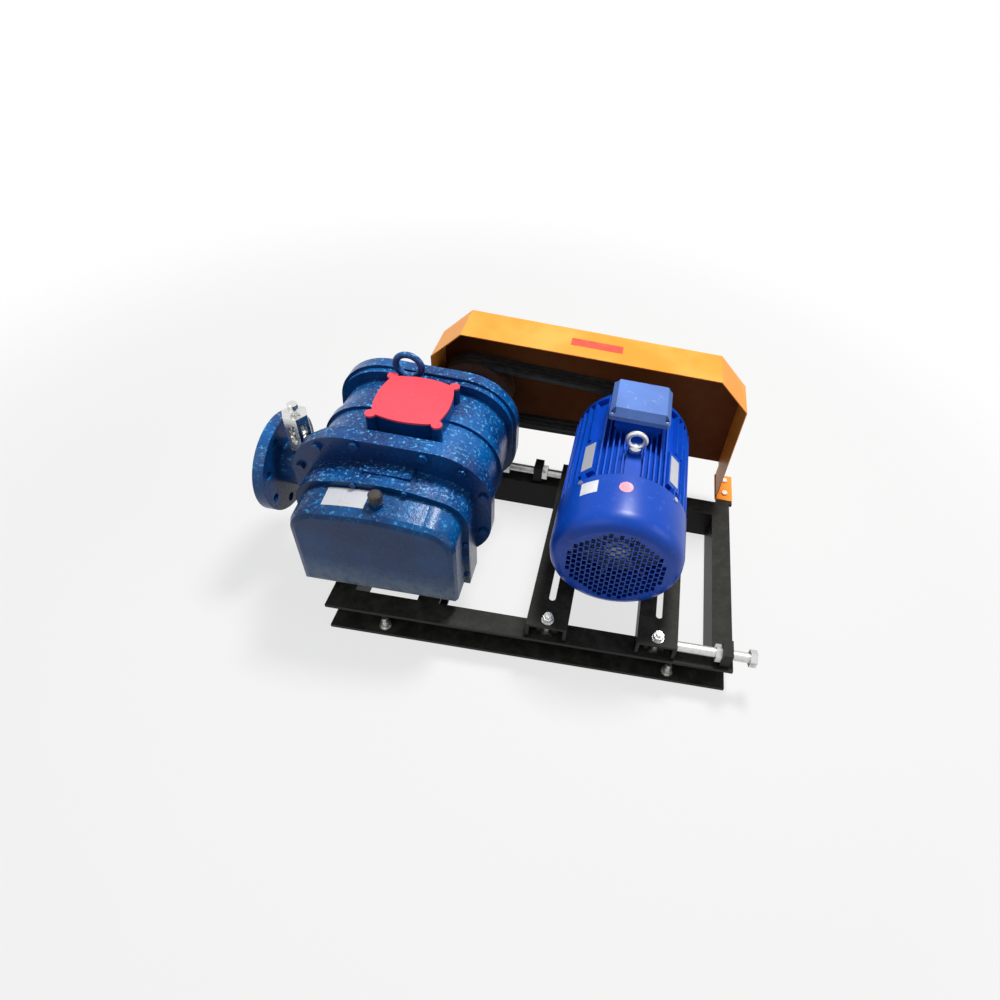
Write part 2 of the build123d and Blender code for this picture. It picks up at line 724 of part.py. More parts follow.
flange_out = loaf_outline(gearbox_half_w + 10, gearbox_low_z - 12, 272, 98, 338, 351)
ring_in = loaf_outline(gearbox_half_w - 6, gearbox_low_z + 7, 268, 90, 323, 332)
cover_outside = loaf(0.0, gearbox_front_y, 12.0)
cover = cover_outside + upright(flange_out, gearbox_seam_y - 8, gearbox_seam_y)
cap_x = 106.0
cap_y = 62.0
cap_seat_z = 341.0
cover += rod_z(cap_x, cap_y, 320, cap_seat_z, 13)
cover -= loaf(-gearbox_wall, gearbox_front_y + gearbox_wall, 8.0)
cover -= upright(ring_in, gearbox_seam_y - 10, gearbox_seam_y + 1)
cover -= rod_z(cap_x, cap_y, 300, cap_seat_z + 1, 7)
sight_z = 205.0
drain_z = 128.0
cover -= rod_x(-60, -30, 62, sight_z, 12)
cover -= rod_x(-60, -30, 62, drain_z + 8, 6)
ring = upright(flange_out, gearbox_seam_y, plate_front_y)
ring += block(64, 150, 112, plate_front_y, 330, 354)
ring -= upright(ring_in, gearbox_seam_y - 1, plate_front_y + 1)
gearbox_bolts = []
for gx, gz in gearbox_screws:
    cut = rod_y(gearbox_x + gx, gearbox_seam_y - 9, plate_front_y + 1, gz, 3)
    cover -= cut
    cover -= rod_y(gearbox_x + gx, gearbox_seam_y - 20, gearbox_seam_y - 8, gz, 5.7)
    ring -= cut
    gearbox_bolts.append(screw_y(gearbox_x + gx, gz, gearbox_seam_y - 8, 9, 4.5, 3, 64, 1))
keep("gearbox_cover", cover)
keep("gearbox_housing", ring)
keep("gearbox_screws", group(gearbox_bolts + cap_bolts))

plate_blank = loaf(1.2, gearbox_front_y, 12.0) & block(14, 88, 48, 84, 300, 350)
keep("gearbox_nameplate", plate_blank - cover_outside)

filler_cap = turned_z(
    [
        (cap_seat_z - 12, 0),
        (cap_seat_z - 12, 7 - stem_gap),
        (cap_seat_z + stem_gap, 7 - stem_gap),
        (cap_seat_z + stem_gap, 12),
        (cap_seat_z + 16, 12),
        (cap_seat_z + 19, 9),
        (cap_seat_z + 19, 0),
    ],
    cap_x,
    cap_y,
)
for n in range(10):
    angle = math.radians(36 * n)
    groove_x = cap_x + 13 * math.cos(angle)
    groove_y = cap_y + 13 * math.sin(angle)
    filler_cap -= rod_z(groove_x, groove_y, cap_seat_z + 3, cap_seat_z + 20, 1.8)
keep("filler_cap", filler_cap)

side_x = gearbox_x - gearbox_half_w
sight_profile = [(side_x - 5, 0), (side_x - 5, 16), (side_x, 16)]
sight_profile += [(side_x, 12), (side_x + 7, 12), (side_x + 7, 0)]
sight = turned_x(sight_profile, 62, sight_z)
keep("oil_sight_glass", sight)
drain = hex_x(side_x - 8, side_x, 62, drain_z + 8, 17) + rod_x(side_x, side_x + 7, 62, drain_z + 8, 6)
keep("oil_drain_plug", drain)

keep("port_cover", Pos(port_x, port_y, port_top_z) * extrude(port_outline(0.5), cover_t))


# ---------------------------------------------------------------- discharge spool and relief valve
neck_end_x = -66.0
spool = turned_x(
    [
        (discharge_face_x, pipe_id / 2),
        (discharge_face_x, flange_od / 2),
        (discharge_face_x + flange_t, flange_od / 2),
        (discharge_face_x + flange_t, pipe_od / 2),
        (-78, pipe_od / 2),
        (-78, pipe_od / 2 - 2),
        (neck_end_x, pipe_od / 2 - 2),
        (neck_end_x, pipe_id / 2),
    ],
    discharge_y,
    discharge_z,
)
for n in range(flange_holes):
    angle = math.radians(22.5 + 45 * n)
    hole_y = discharge_y + flange_pcd / 2 * math.cos(angle)
    hole_z = discharge_z + flange_pcd / 2 * math.sin(angle)
    spool -= rod_x(discharge_face_x - 1, discharge_face_x + flange_t + 1, hole_y, hole_z, flange_hole_d / 2)
valve_boss_r = 17.0
valve_stub_r = 10.0
boss = rod_z(valve_x, discharge_y, discharge_z + 42, valve_base_z + 4, valve_boss_r)
spool += boss
spool -= rod_x(discharge_face_x - 1, -60, discharge_y, discharge_z, pipe_id / 2)
spool -= rod_z(valve_x, discharge_y, discharge_z, valve_base_z + 8, valve_stub_r)
keep("discharge_spool", spool)

valve_low = valve_base_z + 4
valve_body = rod_z(valve_x, discharge_y, valve_low, valve_low + 6, 19.5)
valve_body += hex_z(valve_x, discharge_y, valve_low + 6, valve_top_z, valve_af)
stub_z = discharge_z + pipe_id / 2 + 2
valve_body += rod_z(valve_x, discharge_y, stub_z, valve_low, valve_stub_r)
seat_z = valve_low + 10
valve_body -= rod_z(valve_x, discharge_y, stub_z - 1, seat_z + 1, 6.5)
valve_body -= rod_z(valve_x, discharge_y, seat_z, valve_top_z - 6, 15)
valve_body -= rod_z(valve_x, discharge_y, valve_top_z - 7, valve_top_z + 1, valve_stem_d / 2 + stem_gap)
for n in range(3):
    window = block(-5.5, 5.5, 10, 30, seat_z + 14, valve_top_z - 18)
    valve_body -= Pos(valve_x, discharge_y, 0) * Rot(0, 0, 60 * n) * window
    valve_body -= Pos(valve_x, discharge_y, 0) * Rot(0, 0, 60 * n + 180) * window
keep("relief_valve_body", valve_body)

knob_z = valve_top_z + 6
stem = turned_z(
    [
        (seat_z, 0),
        (seat_z, 11),
        (seat_z + 5, 11),
        (seat_z + 5, valve_stem_d / 2),
        (knob_z, valve_stem_d / 2),
        (knob_z, 7),
        (knob_z + 2, 9),
        (knob_z + 15, 9),
        (knob_z + 17, 7),
        (knob_z + 17, 0),
    ],
    valve_x,
    discharge_y,
)
keep("relief_valve_stem", stem)

spring_low = seat_z + 5
spring_high = valve_top_z - 6
spring_wire = 2.2
helix_h = spring_high - spring_low - spring_wire - 1
helix = Helix(pitch=helix_h / 6, height=helix_h, radius=8.2)
wire_plane = Plane(origin=helix @ 0, z_dir=helix % 0)
coil = sweep(wire_plane * Rectangle(spring_wire, spring_wire), path=helix)
keep("relief_valve_spring", Pos(valve_x, discharge_y, spring_low + spring_wire / 2 + 0.5) * coil)


# ---------------------------------------------------------------- slide rails and jacks
rails = []
rail_bolts = []
for rail_x in rail_centres:
    rail = block(rail_x - rail_w / 2, rail_x + rail_w / 2, rail_y0, rail_y1, channel_h, rail_top_z)
    hollow_half = rail_w / 2 - rail_wall
    hollow_x = (rail_x - hollow_half, rail_x + hollow_half)
    rail -= block(hollow_x[0], hollow_x[1], rail_y0 - 1, rail_y1 + 1, channel_h - 1, rail_top_z - 6)
    rail -= Pos(rail_x, 230, rail_top_z - 10) * Rot(0, 0, 90) * extrude(SlotOverall(330, 13), 20)
    for hold_y in hold_down_y:
        rail -= rod_z(rail_x, hold_y, rail_top_z - 10, rail_top_z + 5, 6.5)
        washer = rod_z(rail_x, hold_y, rail_top_z, rail_top_z + 2.5, 12) - rod_z(rail_x, hold_y, 110, 140, 6)
        nut = hex_z(rail_x, hold_y, rail_top_z + 2.5, rail_top_z + 13, 18)
        nut -= rod_z(rail_x, hold_y, 110, 140, 6)
        bolt = rod_z(rail_x, hold_y, channel_h - channel_flange_t, rail_top_z + 20, 6)
        bolt += hex_z(rail_x, hold_y, 64, 72, 18)
        rail_bolts.extend([washer, nut, bolt])
    rails.append(rail)
keep("slide_rails", group(rails))
keep("rail_bolts", group(rail_bolts))

rail_right_x = rail_centres[1] + rail_w / 2
rail_left_x = rail_centres[0] - rail_w / 2
front_jack = rod_x(rail_right_x, 833, front_jack_y, jack_z, jack_d / 2)
front_jack += hex_x(832, motor_jack_end_x, front_jack_y, jack_z, 30)
keep("front_jack", front_jack)
rear_jack = rod_x(263, rail_left_x, rear_jack_y, jack_z, jack_d / 2)
rear_jack += hex_x(250, 264, rear_jack_y, jack_z, 30)
keep("rear_jack", rear_jack)


# ---------------------------------------------------------------- motor
foot_t = 15.0
barrel_wall = [(frame_y0, stator_r), (frame_y0, frame_r), (frame_y1, frame_r), (frame_y1, stator_r)]
frame = turned_y(barrel_wall, motor_x, motor_z)
fins = []
fin_angles = [a for a in range(-170, 181, 9) if not (52 < a < 128) and not (-150 < a < -30)]
for a in fin_angles:
    fin = block(frame_r - 3, fin_r, frame_y0 + 4, frame_y1 - 4, -1.5, 1.5)
    fins.append(Pos(motor_x, 0, motor_z) * Rot(0, -a, 0) * fin)
frame += fins
foot_y0 = motor_foot_y - 24
foot_y1 = motor_foot_y + motor_foot_b + 24
for side in (-1, 1):
    foot_x = motor_x + side * motor_foot_a / 2
    low = rail_top_z
    pad = block(foot_x - 26, foot_x + 26, foot_y0, foot_y1, low, low + foot_t)
    leg = Polyline(
        (foot_x - side * 26, low),
        (foot_x + side * 4, low),
        (motor_x + side * 96, motor_z - 52),
        (motor_x + side * 50, motor_z - 96),
        close=True,
    )
    web = upright(make_face(leg), foot_y0, foot_y0 + 10) + upright(make_face(leg), foot_y1 - 10, foot_y1)
    frame += pad
    frame += web - rod_y(motor_x, foot_y0 - 5, foot_y1 + 5, motor_z, stator_r + 2)
box_x0 = 489.0
box_x1 = 582.0
box_y0 = 312.0
box_y1 = 398.0
pedestal_z = 386.0
frame += block(box_x0 + 6, box_x1 - 6, box_y0 + 4, box_y1 - 4, motor_z + 100, pedestal_z)
motor_eye_y = 261.0
motor_eye_seat = motor_z + 128
frame += block(motor_x - 15, motor_x + 15, frame_y0 + 4, box_y0 + 10, motor_z + 106, motor_eye_seat - 8)
frame += rod_z(motor_x, motor_eye_y, motor_z + 106, motor_eye_seat, 14)
for side in (-1, 1):
    pad = block(frame_r - 4, fin_r - 6, 214, 306, -17, 17)
    frame += Pos(motor_x, 0, motor_z) * Rot(0, -90 + side * 45, 0) * pad
    recess = block(fin_r - 6, fin_r + 4, 212, 308, -19, 19)
    frame -= Pos(motor_x, 0, motor_z) * Rot(0, -90 + side * 45, 0) * recess
frame -= rod_y(motor_x, frame_y0 - 5, frame_y1 + 5, motor_z, stator_r)
frame -= rod_z(motor_x, motor_eye_y, motor_z + 112, motor_eye_seat + 1, 5)
foot_holes_y = [motor_foot_y, motor_foot_y + motor_foot_b]
motor_bolts = []
for bolt_x in rail_centres:
    for bolt_y in foot_holes_y:
        frame -= rod_z(bolt_x, bolt_y, rail_top_z - 1, rail_top_z + foot_t + 1, 6)
        seat = rail_top_z + foot_t
        bolt = rod_z(bolt_x, bolt_y, rail_top_z - 24, seat + 3, 6)
        bolt += hex_z(bolt_x, bolt_y, seat + 2.5, seat + 10, 18)
        washer = rod_z(bolt_x, bolt_y, seat, seat + 2.5, 12) - rod_z(bolt_x, bolt_y, seat - 1, seat + 5, 6)
        nut = rod_z(bolt_x, bolt_y, rail_top_z - 9, rail_top_z - 6, 13) + hex_z(
            bolt_x, bolt_y, rail_top_z - 20, rail_top_z - 9, 18
        )
        nut -= rod_z(bolt_x, bolt_y, 90, 130, 6)
        motor_bolts.extend([bolt, washer, nut])
keep("motor_frame", frame)
keep("motor_foot_bolts", group(motor_bolts))
keep("motor_eye_bolt", eye_bolt(motor_x, motor_eye_y, motor_eye_seat, 45, 5, 5, 16))

stator_y0 = 232.0
stator_y1 = 392.0
rotor_r = 68.0
core_r = rotor_r + air_gap
core_wall = [(stator_y0, core_r), (stator_y0, stator_r), (stator_y1, stator_r), (stator_y1, core_r)]
core = turned_y(core_wall, motor_x, motor_z)
end_turns = []
for w0, w1 in ((stator_y0 - 26, stator_y0), (stator_y1, stator_y1 + 26)):
    winding = turned_y([(w0 + 3, 74), (w0, 78), (w0, 94), (w0 + 3, 97), (w1, 97), (w1, 74)], motor_x, motor_z)
    end_turns.append(winding)
keep("motor_stator", core + end_turns)

motor_bearing_r = motor_bearing[1] / 2
nde_bearing_y = (frame_y0 - 12 - 1, frame_y0 - 12 - 1 + motor_bearing[2])
de_bearing_y = (frame_y1 + 4, frame_y1 + 4 + motor_bearing[2])
fan_shield = turned_y(
    [
        (nde_bearing_y[0] - 8, 22),
        (nde_bearing_y[0] - 8, 54),
        (frame_y0 - 10, 60),
        (frame_y0 - 10, frame_r + 2),
        (frame_y0, frame_r + 2),
        (frame_y0, stator_r),
        (frame_y0 + 6, stator_r),
        (frame_y0 + 6, stator_r - 6),
        (frame_y0, stator_r - 8),
        (nde_bearing_y[1], 54),
        (nde_bearing_y[1], motor_bearing_r),
        (nde_bearing_y[0], motor_bearing_r),
        (nde_bearing_y[0], 22),
    ],
    motor_x,
    motor_z,
)
drive_shield = turned_y(
    [
        (frame_y1 - 6, stator_r - 6),
        (frame_y1 - 6, stator_r),
        (frame_y1, stator_r),
        (frame_y1, fin_r - 3),
        (frame_y1 + 10, fin_r - 3),
        (frame_y1 + 18, 100),
        (shield_face_y, 66),
        (shield_face_y, 21),
        (de_bearing_y[1], 21),
        (de_bearing_y[1], motor_bearing_r),
        (de_bearing_y[0], motor_bearing_r),
        (de_bearing_y[0], 54),
        (frame_y1 + 6, 90),
    ],
    motor_x,
    motor_z,
)
for lug_angle in (45, 135, 225, 315):
    lug = block(frame_r - 4, cowl_r - cowl_skin - 0.4, frame_y0 - 10, frame_y0, -8, 8)
    lug += Pos(cowl_r - cowl_skin - 0.5, frame_y0 - 5, 0) * Box(1, 10, 16)
    fan_shield += Pos(motor_x, 0, motor_z) * Rot(0, lug_angle, 0) * lug
fan_shield &= rod_y(motor_x, frame_y0 - 30, frame_y0 + 30, motor_z, cowl_r - cowl_skin)
keep("motor_end_shields", group([fan_shield, drive_shield]))
keep(
    "motor_bearings",
    group(
        [
            bearing_outer(motor_x, motor_z, nde_bearing_y[0], motor_bearing),
            bearing_outer(motor_x, motor_z, de_bearing_y[0], motor_bearing),
        ]
    ),
)
keep(
    "motor_bearing_inners",
    group(
        [
            bearing_inner(motor_x, motor_z, nde_bearing_y[0], motor_bearing),
            bearing_inner(motor_x, motor_z, de_bearing_y[0], motor_bearing),
        ]
    ),
)

fan_face_y = 112.0
fan_back_y = 152.0
cowl = turned_y(
    [
        (cowl_face_y, 0),
        (cowl_face_y, cowl_r - 25.2),
        (cowl_face_y + 5, cowl_r - 15.2),
        (cowl_edge_y, cowl_r),
        (cowl_rear_y, cowl_r),
        (cowl_rear_y, cowl_r - cowl_skin),
        (cowl_edge_y + 1, cowl_r - cowl_skin),
        (cowl_face_y + 7, cowl_r - 17.2),
        (cowl_face_y + cowl_skin, cowl_r - 26.2),
        (cowl_face_y + cowl_skin, 0),
    ],
    motor_x,
    motor_z,
)
slot_w = 20.0
slot_h = 9.0
row_pitch = 14.5
column_pitch = 25.0
slots = []
for row in range(-6, 7):
    stagger = column_pitch / 2 if row % 2 else 0.0
    for column in range(-5, 6):
        u = column * column_pitch + stagger
        v = row * row_pitch
        reach = max(math.hypot(abs(u) + slot_w / 2, abs(v) + slot_h / 2), 0.0)
        if reach > 99 or math.hypot(u, v) < 27:
            continue
        slots.append(Pos(motor_x + u, cowl_face_y, motor_z + v) * Box(slot_w, 12, slot_h))
cowl -= slots
keep("fan_cowl", cowl)

fan = turned_y(
    [
        (fan_face_y, 15),
        (fan_face_y, 26),
        (fan_back_y - 6, 30),
        (fan_back_y - 6, 104),
        (fan_back_y - 3, 104),
        (fan_back_y - 3, 15),
    ],
    motor_x,
    motor_z,
)
for n in range(7):
    blade = block(24, 104, fan_face_y + 6, fan_back_y - 5, -1.5, 1.5)
    fan += Pos(motor_x, 0, motor_z) * Rot(0, 360 / 7 * n, 0) * blade
keep("cooling_fan", fan)

journal_r = motor_bearing[0] / 2
rotor_body = turned_y(
    [
        (fan_face_y - 4, 0),
        (fan_face_y - 4, 15),
        (nde_bearing_y[0] - 9, 15),
        (nde_bearing_y[0] - 9, journal_r),
        (nde_bearing_y[1], journal_r),
        (nde_bearing_y[1], 24),
        (stator_y0 - 10, 24),
        (stator_y0 - 10, 48),
        (stator_y0 - 10, rotor_r - 6),
        (stator_y0, rotor_r),
        (stator_y1, rotor_r),
        (stator_y1 + 10, rotor_r - 6),
        (stator_y1 + 10, 24),
        (de_bearing_y[0], 24),
        (de_bearing_y[0], journal_r),
        (de_bearing_y[1], journal_r),
        (shield_face_y - 1, journal_r),
        (shield_face_y - 1, motor_shaft_d / 2),
        (motor_shaft_end_y, motor_shaft_d / 2),
        (motor_shaft_end_y, 0),
    ],
    motor_x,
    motor_z,
)
keep("motor_rotor", rotor_body)

lid_z = 412.0
lid_top_z = 438.0
gland_x = 536.0
terminal_box = block(box_x0, box_x1, box_y0, box_y1, pedestal_z, lid_z)
terminal_box -= block(box_x0 + 5, box_x1 - 5, box_y0 + 5, box_y1 - 5, pedestal_z + 5, lid_z + 1)
terminal_box -= rod_y(gland_x, box_y1 - 8, box_y1 + 2, 400, 8)
keep("terminal_box", terminal_box)
lid_x = 535.5
lid_y = 354.5
lid_rim_h = 10.0
lid_rim = RectangleRounded(121, 109, 6)
lid_mid = Pos(lid_x, lid_y, lid_z + lid_rim_h) * lid_rim
lid_crown = Pos(lid_x, lid_y, lid_top_z) * RectangleRounded(101, 89, 4)
lid = extrude(Pos(lid_x, lid_y, lid_z) * lid_rim, lid_rim_h)
lid += loft([lid_mid, lid_crown], ruled=True)
lid -= block(box_x0 + 5, box_x1 - 5, box_y0 + 5, box_y1 - 5, lid_z - 1, lid_top_z - 5)
lid_corners = [(lid_x + sx * 53, lid_y + sy * 47.5) for sx in (-1, 1) for sy in (-1, 1)]
cover_screws = []
for lx, ly in lid_corners:
    lid -= rod_z(lx, ly, lid_z - 1, lid_top_z + 1, 4.6)
for lx, ly in lid_corners:
    lid += rod_z(lx, ly, lid_z, lid_z + 8, 4.8) - rod_z(lx, ly, lid_z - 1, lid_z + 9, 2)
    cover_screws.append(rod_z(lx, ly, lid_z + 8, lid_z + 11, 4) + rod_z(lx, ly, lid_z, lid_z + 8, 2))
keep("terminal_lid", lid)
gland = hex_y(gland_x, box_y1, box_y1 + 10, 400, 22) + rod_y(gland_x, box_y1 - 5, box_y1, 400, 8)
gland += rod_y(gland_x, box_y1 + 10, box_y1 + 24, 400, 9)
gland -= rod_y(gland_x, box_y1 - 6, box_y1 + 30, 400, 5)
keep("cable_gland", gland)

for a in (45, 135, 225, 315):
    u = math.cos(math.radians(a))
    v = math.sin(math.radians(a))
    screw = Pos(0, 0, -1) * Cylinder(5, 3, align=MIN)
    place = Plane(origin=(motor_x + cowl_r * u, cowl_rear_y - 7, motor_z + cowl_r * v), z_dir=(u, 0, v))
    cover_screws.append(place.location * screw - cowl)
keep("motor_cover_screws", group(cover_screws))

tags = []
for side in (-1, 1):
    tag = block(fin_r - 6, fin_r - 5, 224, 296, -13, 13)
    tags.append(Pos(motor_x, 0, motor_z) * Rot(0, -90 + side * 45, 0) * tag)
keep("motor_nameplates", group(tags))


# ---------------------------------------------------------------- belt drive
belt_drop = 2.75
groove_y = [belt_plane_y + (n - (belt_count - 1) / 2) * belt_pitch_spacing for n in range(belt_count)]
belt_low_w = belt_top_w - 2 * belt_h * math.tan(math.radians(17))


def pulley(shaft_x, shaft_z, pitch_d, bore_r, hub_r):
    """V-grooved pulley with a web between its rim and its hub."""
    rim_r = pitch_d / 2 + belt_drop
    groove_d = belt_h + 1.5
    half_top = belt_top_w / 2 + belt_gap
    half_low = half_top - groove_d * math.tan(math.radians(17))
    points = [(pulley_y0, bore_r), (pulley_y0, hub_r), (belt_plane_y - 8, hub_r)]
    points += [(belt_plane_y - 8, rim_r - 22), (pulley_y0, rim_r - 20), (pulley_y0, rim_r)]
    for gy in groove_y:
        points.append((gy - half_top, rim_r))
        points.append((gy - half_low, rim_r - groove_d))
        points.append((gy + half_low, rim_r - groove_d))
        points.append((gy + half_top, rim_r))
    points += [(pulley_y1, rim_r), (pulley_y1, rim_r - 20), (belt_plane_y + 8, rim_r - 22)]
    points += [(belt_plane_y + 8, hub_r), (pulley_y1, hub_r), (pulley_y1, bore_r)]
    return turned_y(points, shaft_x, shaft_z)


keep("pump_pulley", pulley(drive_x, axis_z, pump_pulley_pd, drive_tail_r, 34))
keep("motor_pulley", pulley(motor_x, motor_z, motor_pulley_pd, motor_shaft_d / 2, 34))


def belt_side(extra):
    """Closed outline of a belt at a distance from the pitch line, in (x, z)."""
    r1 = pump_pulley_pd / 2 + extra
    r2 = motor_pulley_pd / 2 + extra
    dx = motor_x - drive_x
    dz = motor_z - axis_z
    span = math.hypot(dx, dz)
    tilt = math.atan2(dz, dx)
    lean = math.asin((r1 - r2) / span)
    up = tilt + math.pi / 2 - lean
    down = tilt - math.pi / 2 + lean
    p1 = (drive_x + r1 * math.cos(up), axis_z + r1 * math.sin(up))
    p2 = (motor_x + r2 * math.cos(up), motor_z + r2 * math.sin(up))
    p3 = (motor_x + r2 * math.cos(down), motor_z + r2 * math.sin(down))
    p4 = (drive_x + r1 * math.cos(down), axis_z + r1 * math.sin(down))
    far = (motor_x + r2 * math.cos(tilt), motor_z + r2 * math.sin(tilt))
    near = (drive_x - r1 * math.cos(tilt), axis_z - r1 * math.sin(tilt))
    return [Line(p1, p2), ThreePointArc(p2, far, p3), Line(p3, p4), ThreePointArc(p4, near, p1)]


top_path = belt_side(belt_drop)
low_path = belt_side(belt_drop - belt_h)
belts = []
for gy in groove_y:
    wide = upright(make_face(top_path), gy - belt_top_w / 2, gy + belt_top_w / 2)
    wide -= upright(make_face(low_path), gy - belt_top_w, gy + belt_top_w)
    belts.append(wide)
trim = []
for shaft_x, shaft_z, pitch_d in ((drive_x, axis_z, pump_pulley_pd), (motor_x, motor_z, motor_pulley_pd)):
    top_r = pitch_d / 2 + belt_drop + 0.01
    low_r = top_r - belt_h - 2
    slope = math.tan(math.radians(17))
    for gy in groove_y:
        for side in (-1, 1):
            outer = gy + side * belt_top_w / 2
            inner = outer - side * (top_r - low_r) * slope
            beyond = outer + side * 3
            wedge = [(outer, top_r), (beyond, top_r), (beyond, low_r), (inner, low_r)]
            trim.append(turned_y(wedge, shaft_x, shaft_z))
keep("v_belts", group([belt - trim for belt in belts]))


# ---------------------------------------------------------------- belt guard
def guard_outline(inset):
    left = guard_x0 + inset
    right = guard_x1 - inset
    top = guard_top_z - inset
    return Polyline(
        (left, guard_foot_z - 20),
        (left, guard_top_z - 70 - inset * 0.4),
        (left + 66 - inset * 0.6, top),
        (right - 73 + inset * 0.6, top),
        (right, guard_top_z - 70 - inset * 0.4),
        (right, guard_foot_z - 20),
        close=True,
    )


shell = upright(make_face(guard_outline(0)), guard_y0, guard_y1)
shell -= upright(make_face(guard_outline(guard_t)), guard_y0 - 1, guard_y1 - guard_t)
shell -= block(guard_x0 - 1, guard_x1 + 1, guard_y0 - 2, guard_y1 + 1, 0, guard_foot_z)
shell -= block(guard_x0 + guard_t, guard_x1 - guard_t, guard_y1 - guard_t - 1, guard_y1 + 1, 0, guard_low_z)
shell -= block(guard_x0 - 1, guard_x1 + 1, guard_bracket_y1, guard_y1 + 1, 0, guard_low_z)
keep("guard_shell", shell)
feet = []
guard_bolts = []
for side_x0, side_x1 in (foot_left, foot_right):
    foot = block(side_x0, side_x1, rear_edge_y + 9, guard_bracket_y1, channel_h, guard_foot_z)
    bolt_x = (side_x0 + side_x1) / 2
    for sy in foot_screw_y:
        foot -= rod_z(bolt_x, sy, 70, 90, 4)
        bolt = hex_z(bolt_x, sy, guard_foot_z, guard_foot_z + 5.5, 13)
        bolt += rod_z(bolt_x, sy, 60, guard_foot_z + 1, 4)
        nut = hex_z(bolt_x, sy, 65, 72, 13) - rod_z(bolt_x, sy, 60, 80, 4)
        guard_bolts.extend([bolt, nut])
    feet.append(foot)
wall_left = block(guard_x0, guard_x0 + 4, rear_edge_y + 9, guard_bracket_y1, channel_h, guard_foot_z)
wall_right = block(guard_x1 - 4, guard_x1, rear_edge_y + 9, guard_bracket_y1, channel_h, guard_foot_z)
keep("guard_feet", group([feet[0] + wall_left, feet[1] + wall_right]))
keep("guard_bolts", group(guard_bolts))

os.makedirs("parts", exist_ok=True)
for name, shape in NODES.items():
    export_step(shape, f"parts/{name}.step")
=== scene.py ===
"""Looks of a belt-driven three-lobe Roots vacuum pump set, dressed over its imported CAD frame."""
import logging
import math
from dataclasses import dataclass
from enum import Enum
from typing import Any, Optional, Sequence, Union

import bmesh
import bpy
from mathutils import Matrix, Vector


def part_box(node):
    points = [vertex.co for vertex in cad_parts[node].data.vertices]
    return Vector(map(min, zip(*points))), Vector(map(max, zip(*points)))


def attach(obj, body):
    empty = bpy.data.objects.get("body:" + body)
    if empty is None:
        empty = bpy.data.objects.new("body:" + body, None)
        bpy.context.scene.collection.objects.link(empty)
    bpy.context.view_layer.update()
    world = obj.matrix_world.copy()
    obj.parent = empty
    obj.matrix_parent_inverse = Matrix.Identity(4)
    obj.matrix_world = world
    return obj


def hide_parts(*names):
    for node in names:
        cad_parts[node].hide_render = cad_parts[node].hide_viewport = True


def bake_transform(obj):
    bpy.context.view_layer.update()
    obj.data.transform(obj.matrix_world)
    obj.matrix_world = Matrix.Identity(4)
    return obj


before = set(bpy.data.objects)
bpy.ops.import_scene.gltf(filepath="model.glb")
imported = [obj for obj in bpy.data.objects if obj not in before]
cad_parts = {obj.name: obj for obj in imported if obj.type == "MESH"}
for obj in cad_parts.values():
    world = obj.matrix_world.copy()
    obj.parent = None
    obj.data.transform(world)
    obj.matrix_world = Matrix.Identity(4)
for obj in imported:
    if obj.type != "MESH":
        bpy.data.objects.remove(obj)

logging.basicConfig(level=logging.INFO, format="%(message)s")
LOG = logging.getLogger("pump_set")
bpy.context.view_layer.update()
MM = 0.001
WELD = 0.02 * MM
SHARP_COPY = math.radians(32)
SHARP_TURNED = math.radians(38)


def rgb(red: int, green: int, blue: int) -> tuple[float, float, float]:
    """Turns a display colour into scene-linear values.

    Args:
        red: the red channel, 0 to 255.
        green: the green channel, 0 to 255.
        blue: the blue channel, 0 to 255.

    Returns:
        The three linear channels, 0 to 1.
    """

    def linear(value: int) -> float:
        """Undoes the sRGB curve of one channel."""
        share = value / 255
        return share / 12.92 if share <= 0.04045 else ((share + 0.055) / 1.055) ** 2.4

    return linear(red), linear(green), linear(blue)


# ------------------------------------------------------------------ shader expressions
Number = Union[float, int]


class Sock:
    """A shader socket that adds Math nodes when it is used in a Python expression."""

    def __init__(self, graph: "Tree", socket: bpy.types.NodeSocket) -> None:
        """Wraps one output socket of a graph."""
        self.graph = graph
        self.socket = socket

    def _math(self, operation: str, *values: Union["Sock", Number], clamp: bool = False) -> "Sock":
        """Adds one Math node on the given values.

        Args:
            operation: the Math node's operation.
            values: its inputs, in order.
            clamp: whether the result is held between 0 and 1.

        Returns:
            The node's result.
        """
        return self.graph.add("ShaderNodeMath", {"operation": operation, "use_clamp": clamp}, *values)

    def __add__(self, other: Union["Sock", Number]) -> "Sock":
        """Returns self + other."""
        return self._math("ADD", self, other)

    __radd__ = __add__

    def __sub__(self, other: Union["Sock", Number]) -> "Sock":
        """Returns self - other."""
        return self._math("SUBTRACT", self, other)

    def __rsub__(self, other: Number) -> "Sock":
        """Returns other - self."""
        return self._math("SUBTRACT", other, self)

    def __mul__(self, other: Union["Sock", Number]) -> "Sock":
        """Returns self * other."""
        return self._math("MULTIPLY", self, other)

    __rmul__ = __mul__

    def __truediv__(self, other: Union["Sock", Number]) -> "Sock":
        """Returns self / other."""
        return self._math("DIVIDE", self, other)

    def __pow__(self, other: Number) -> "Sock":
        """Returns self to a power."""
        return self._math("POWER", self, other)

    def top(self, other: Union["Sock", Number]) -> "Sock":
        """Returns the larger of the two."""
        return self._math("MAXIMUM", self, other)

    def clamp(self) -> "Sock":
        """Holds the value between 0 and 1."""
        return self._math("ADD", self, 0.0, clamp=True)

    def ramp(self, low: float, high: float) -> "Sock":
        """Goes smoothly from 0 to 1.

        Args:
            low: the value that gives 0.
            high: the value that gives 1.

        Returns:
            The eased value.
        """
        settings = {"interpolation_type": "SMOOTHSTEP", "clamp": True}
        return self.graph.add("ShaderNodeMapRange", settings, self, low, high, 0.0, 1.0)


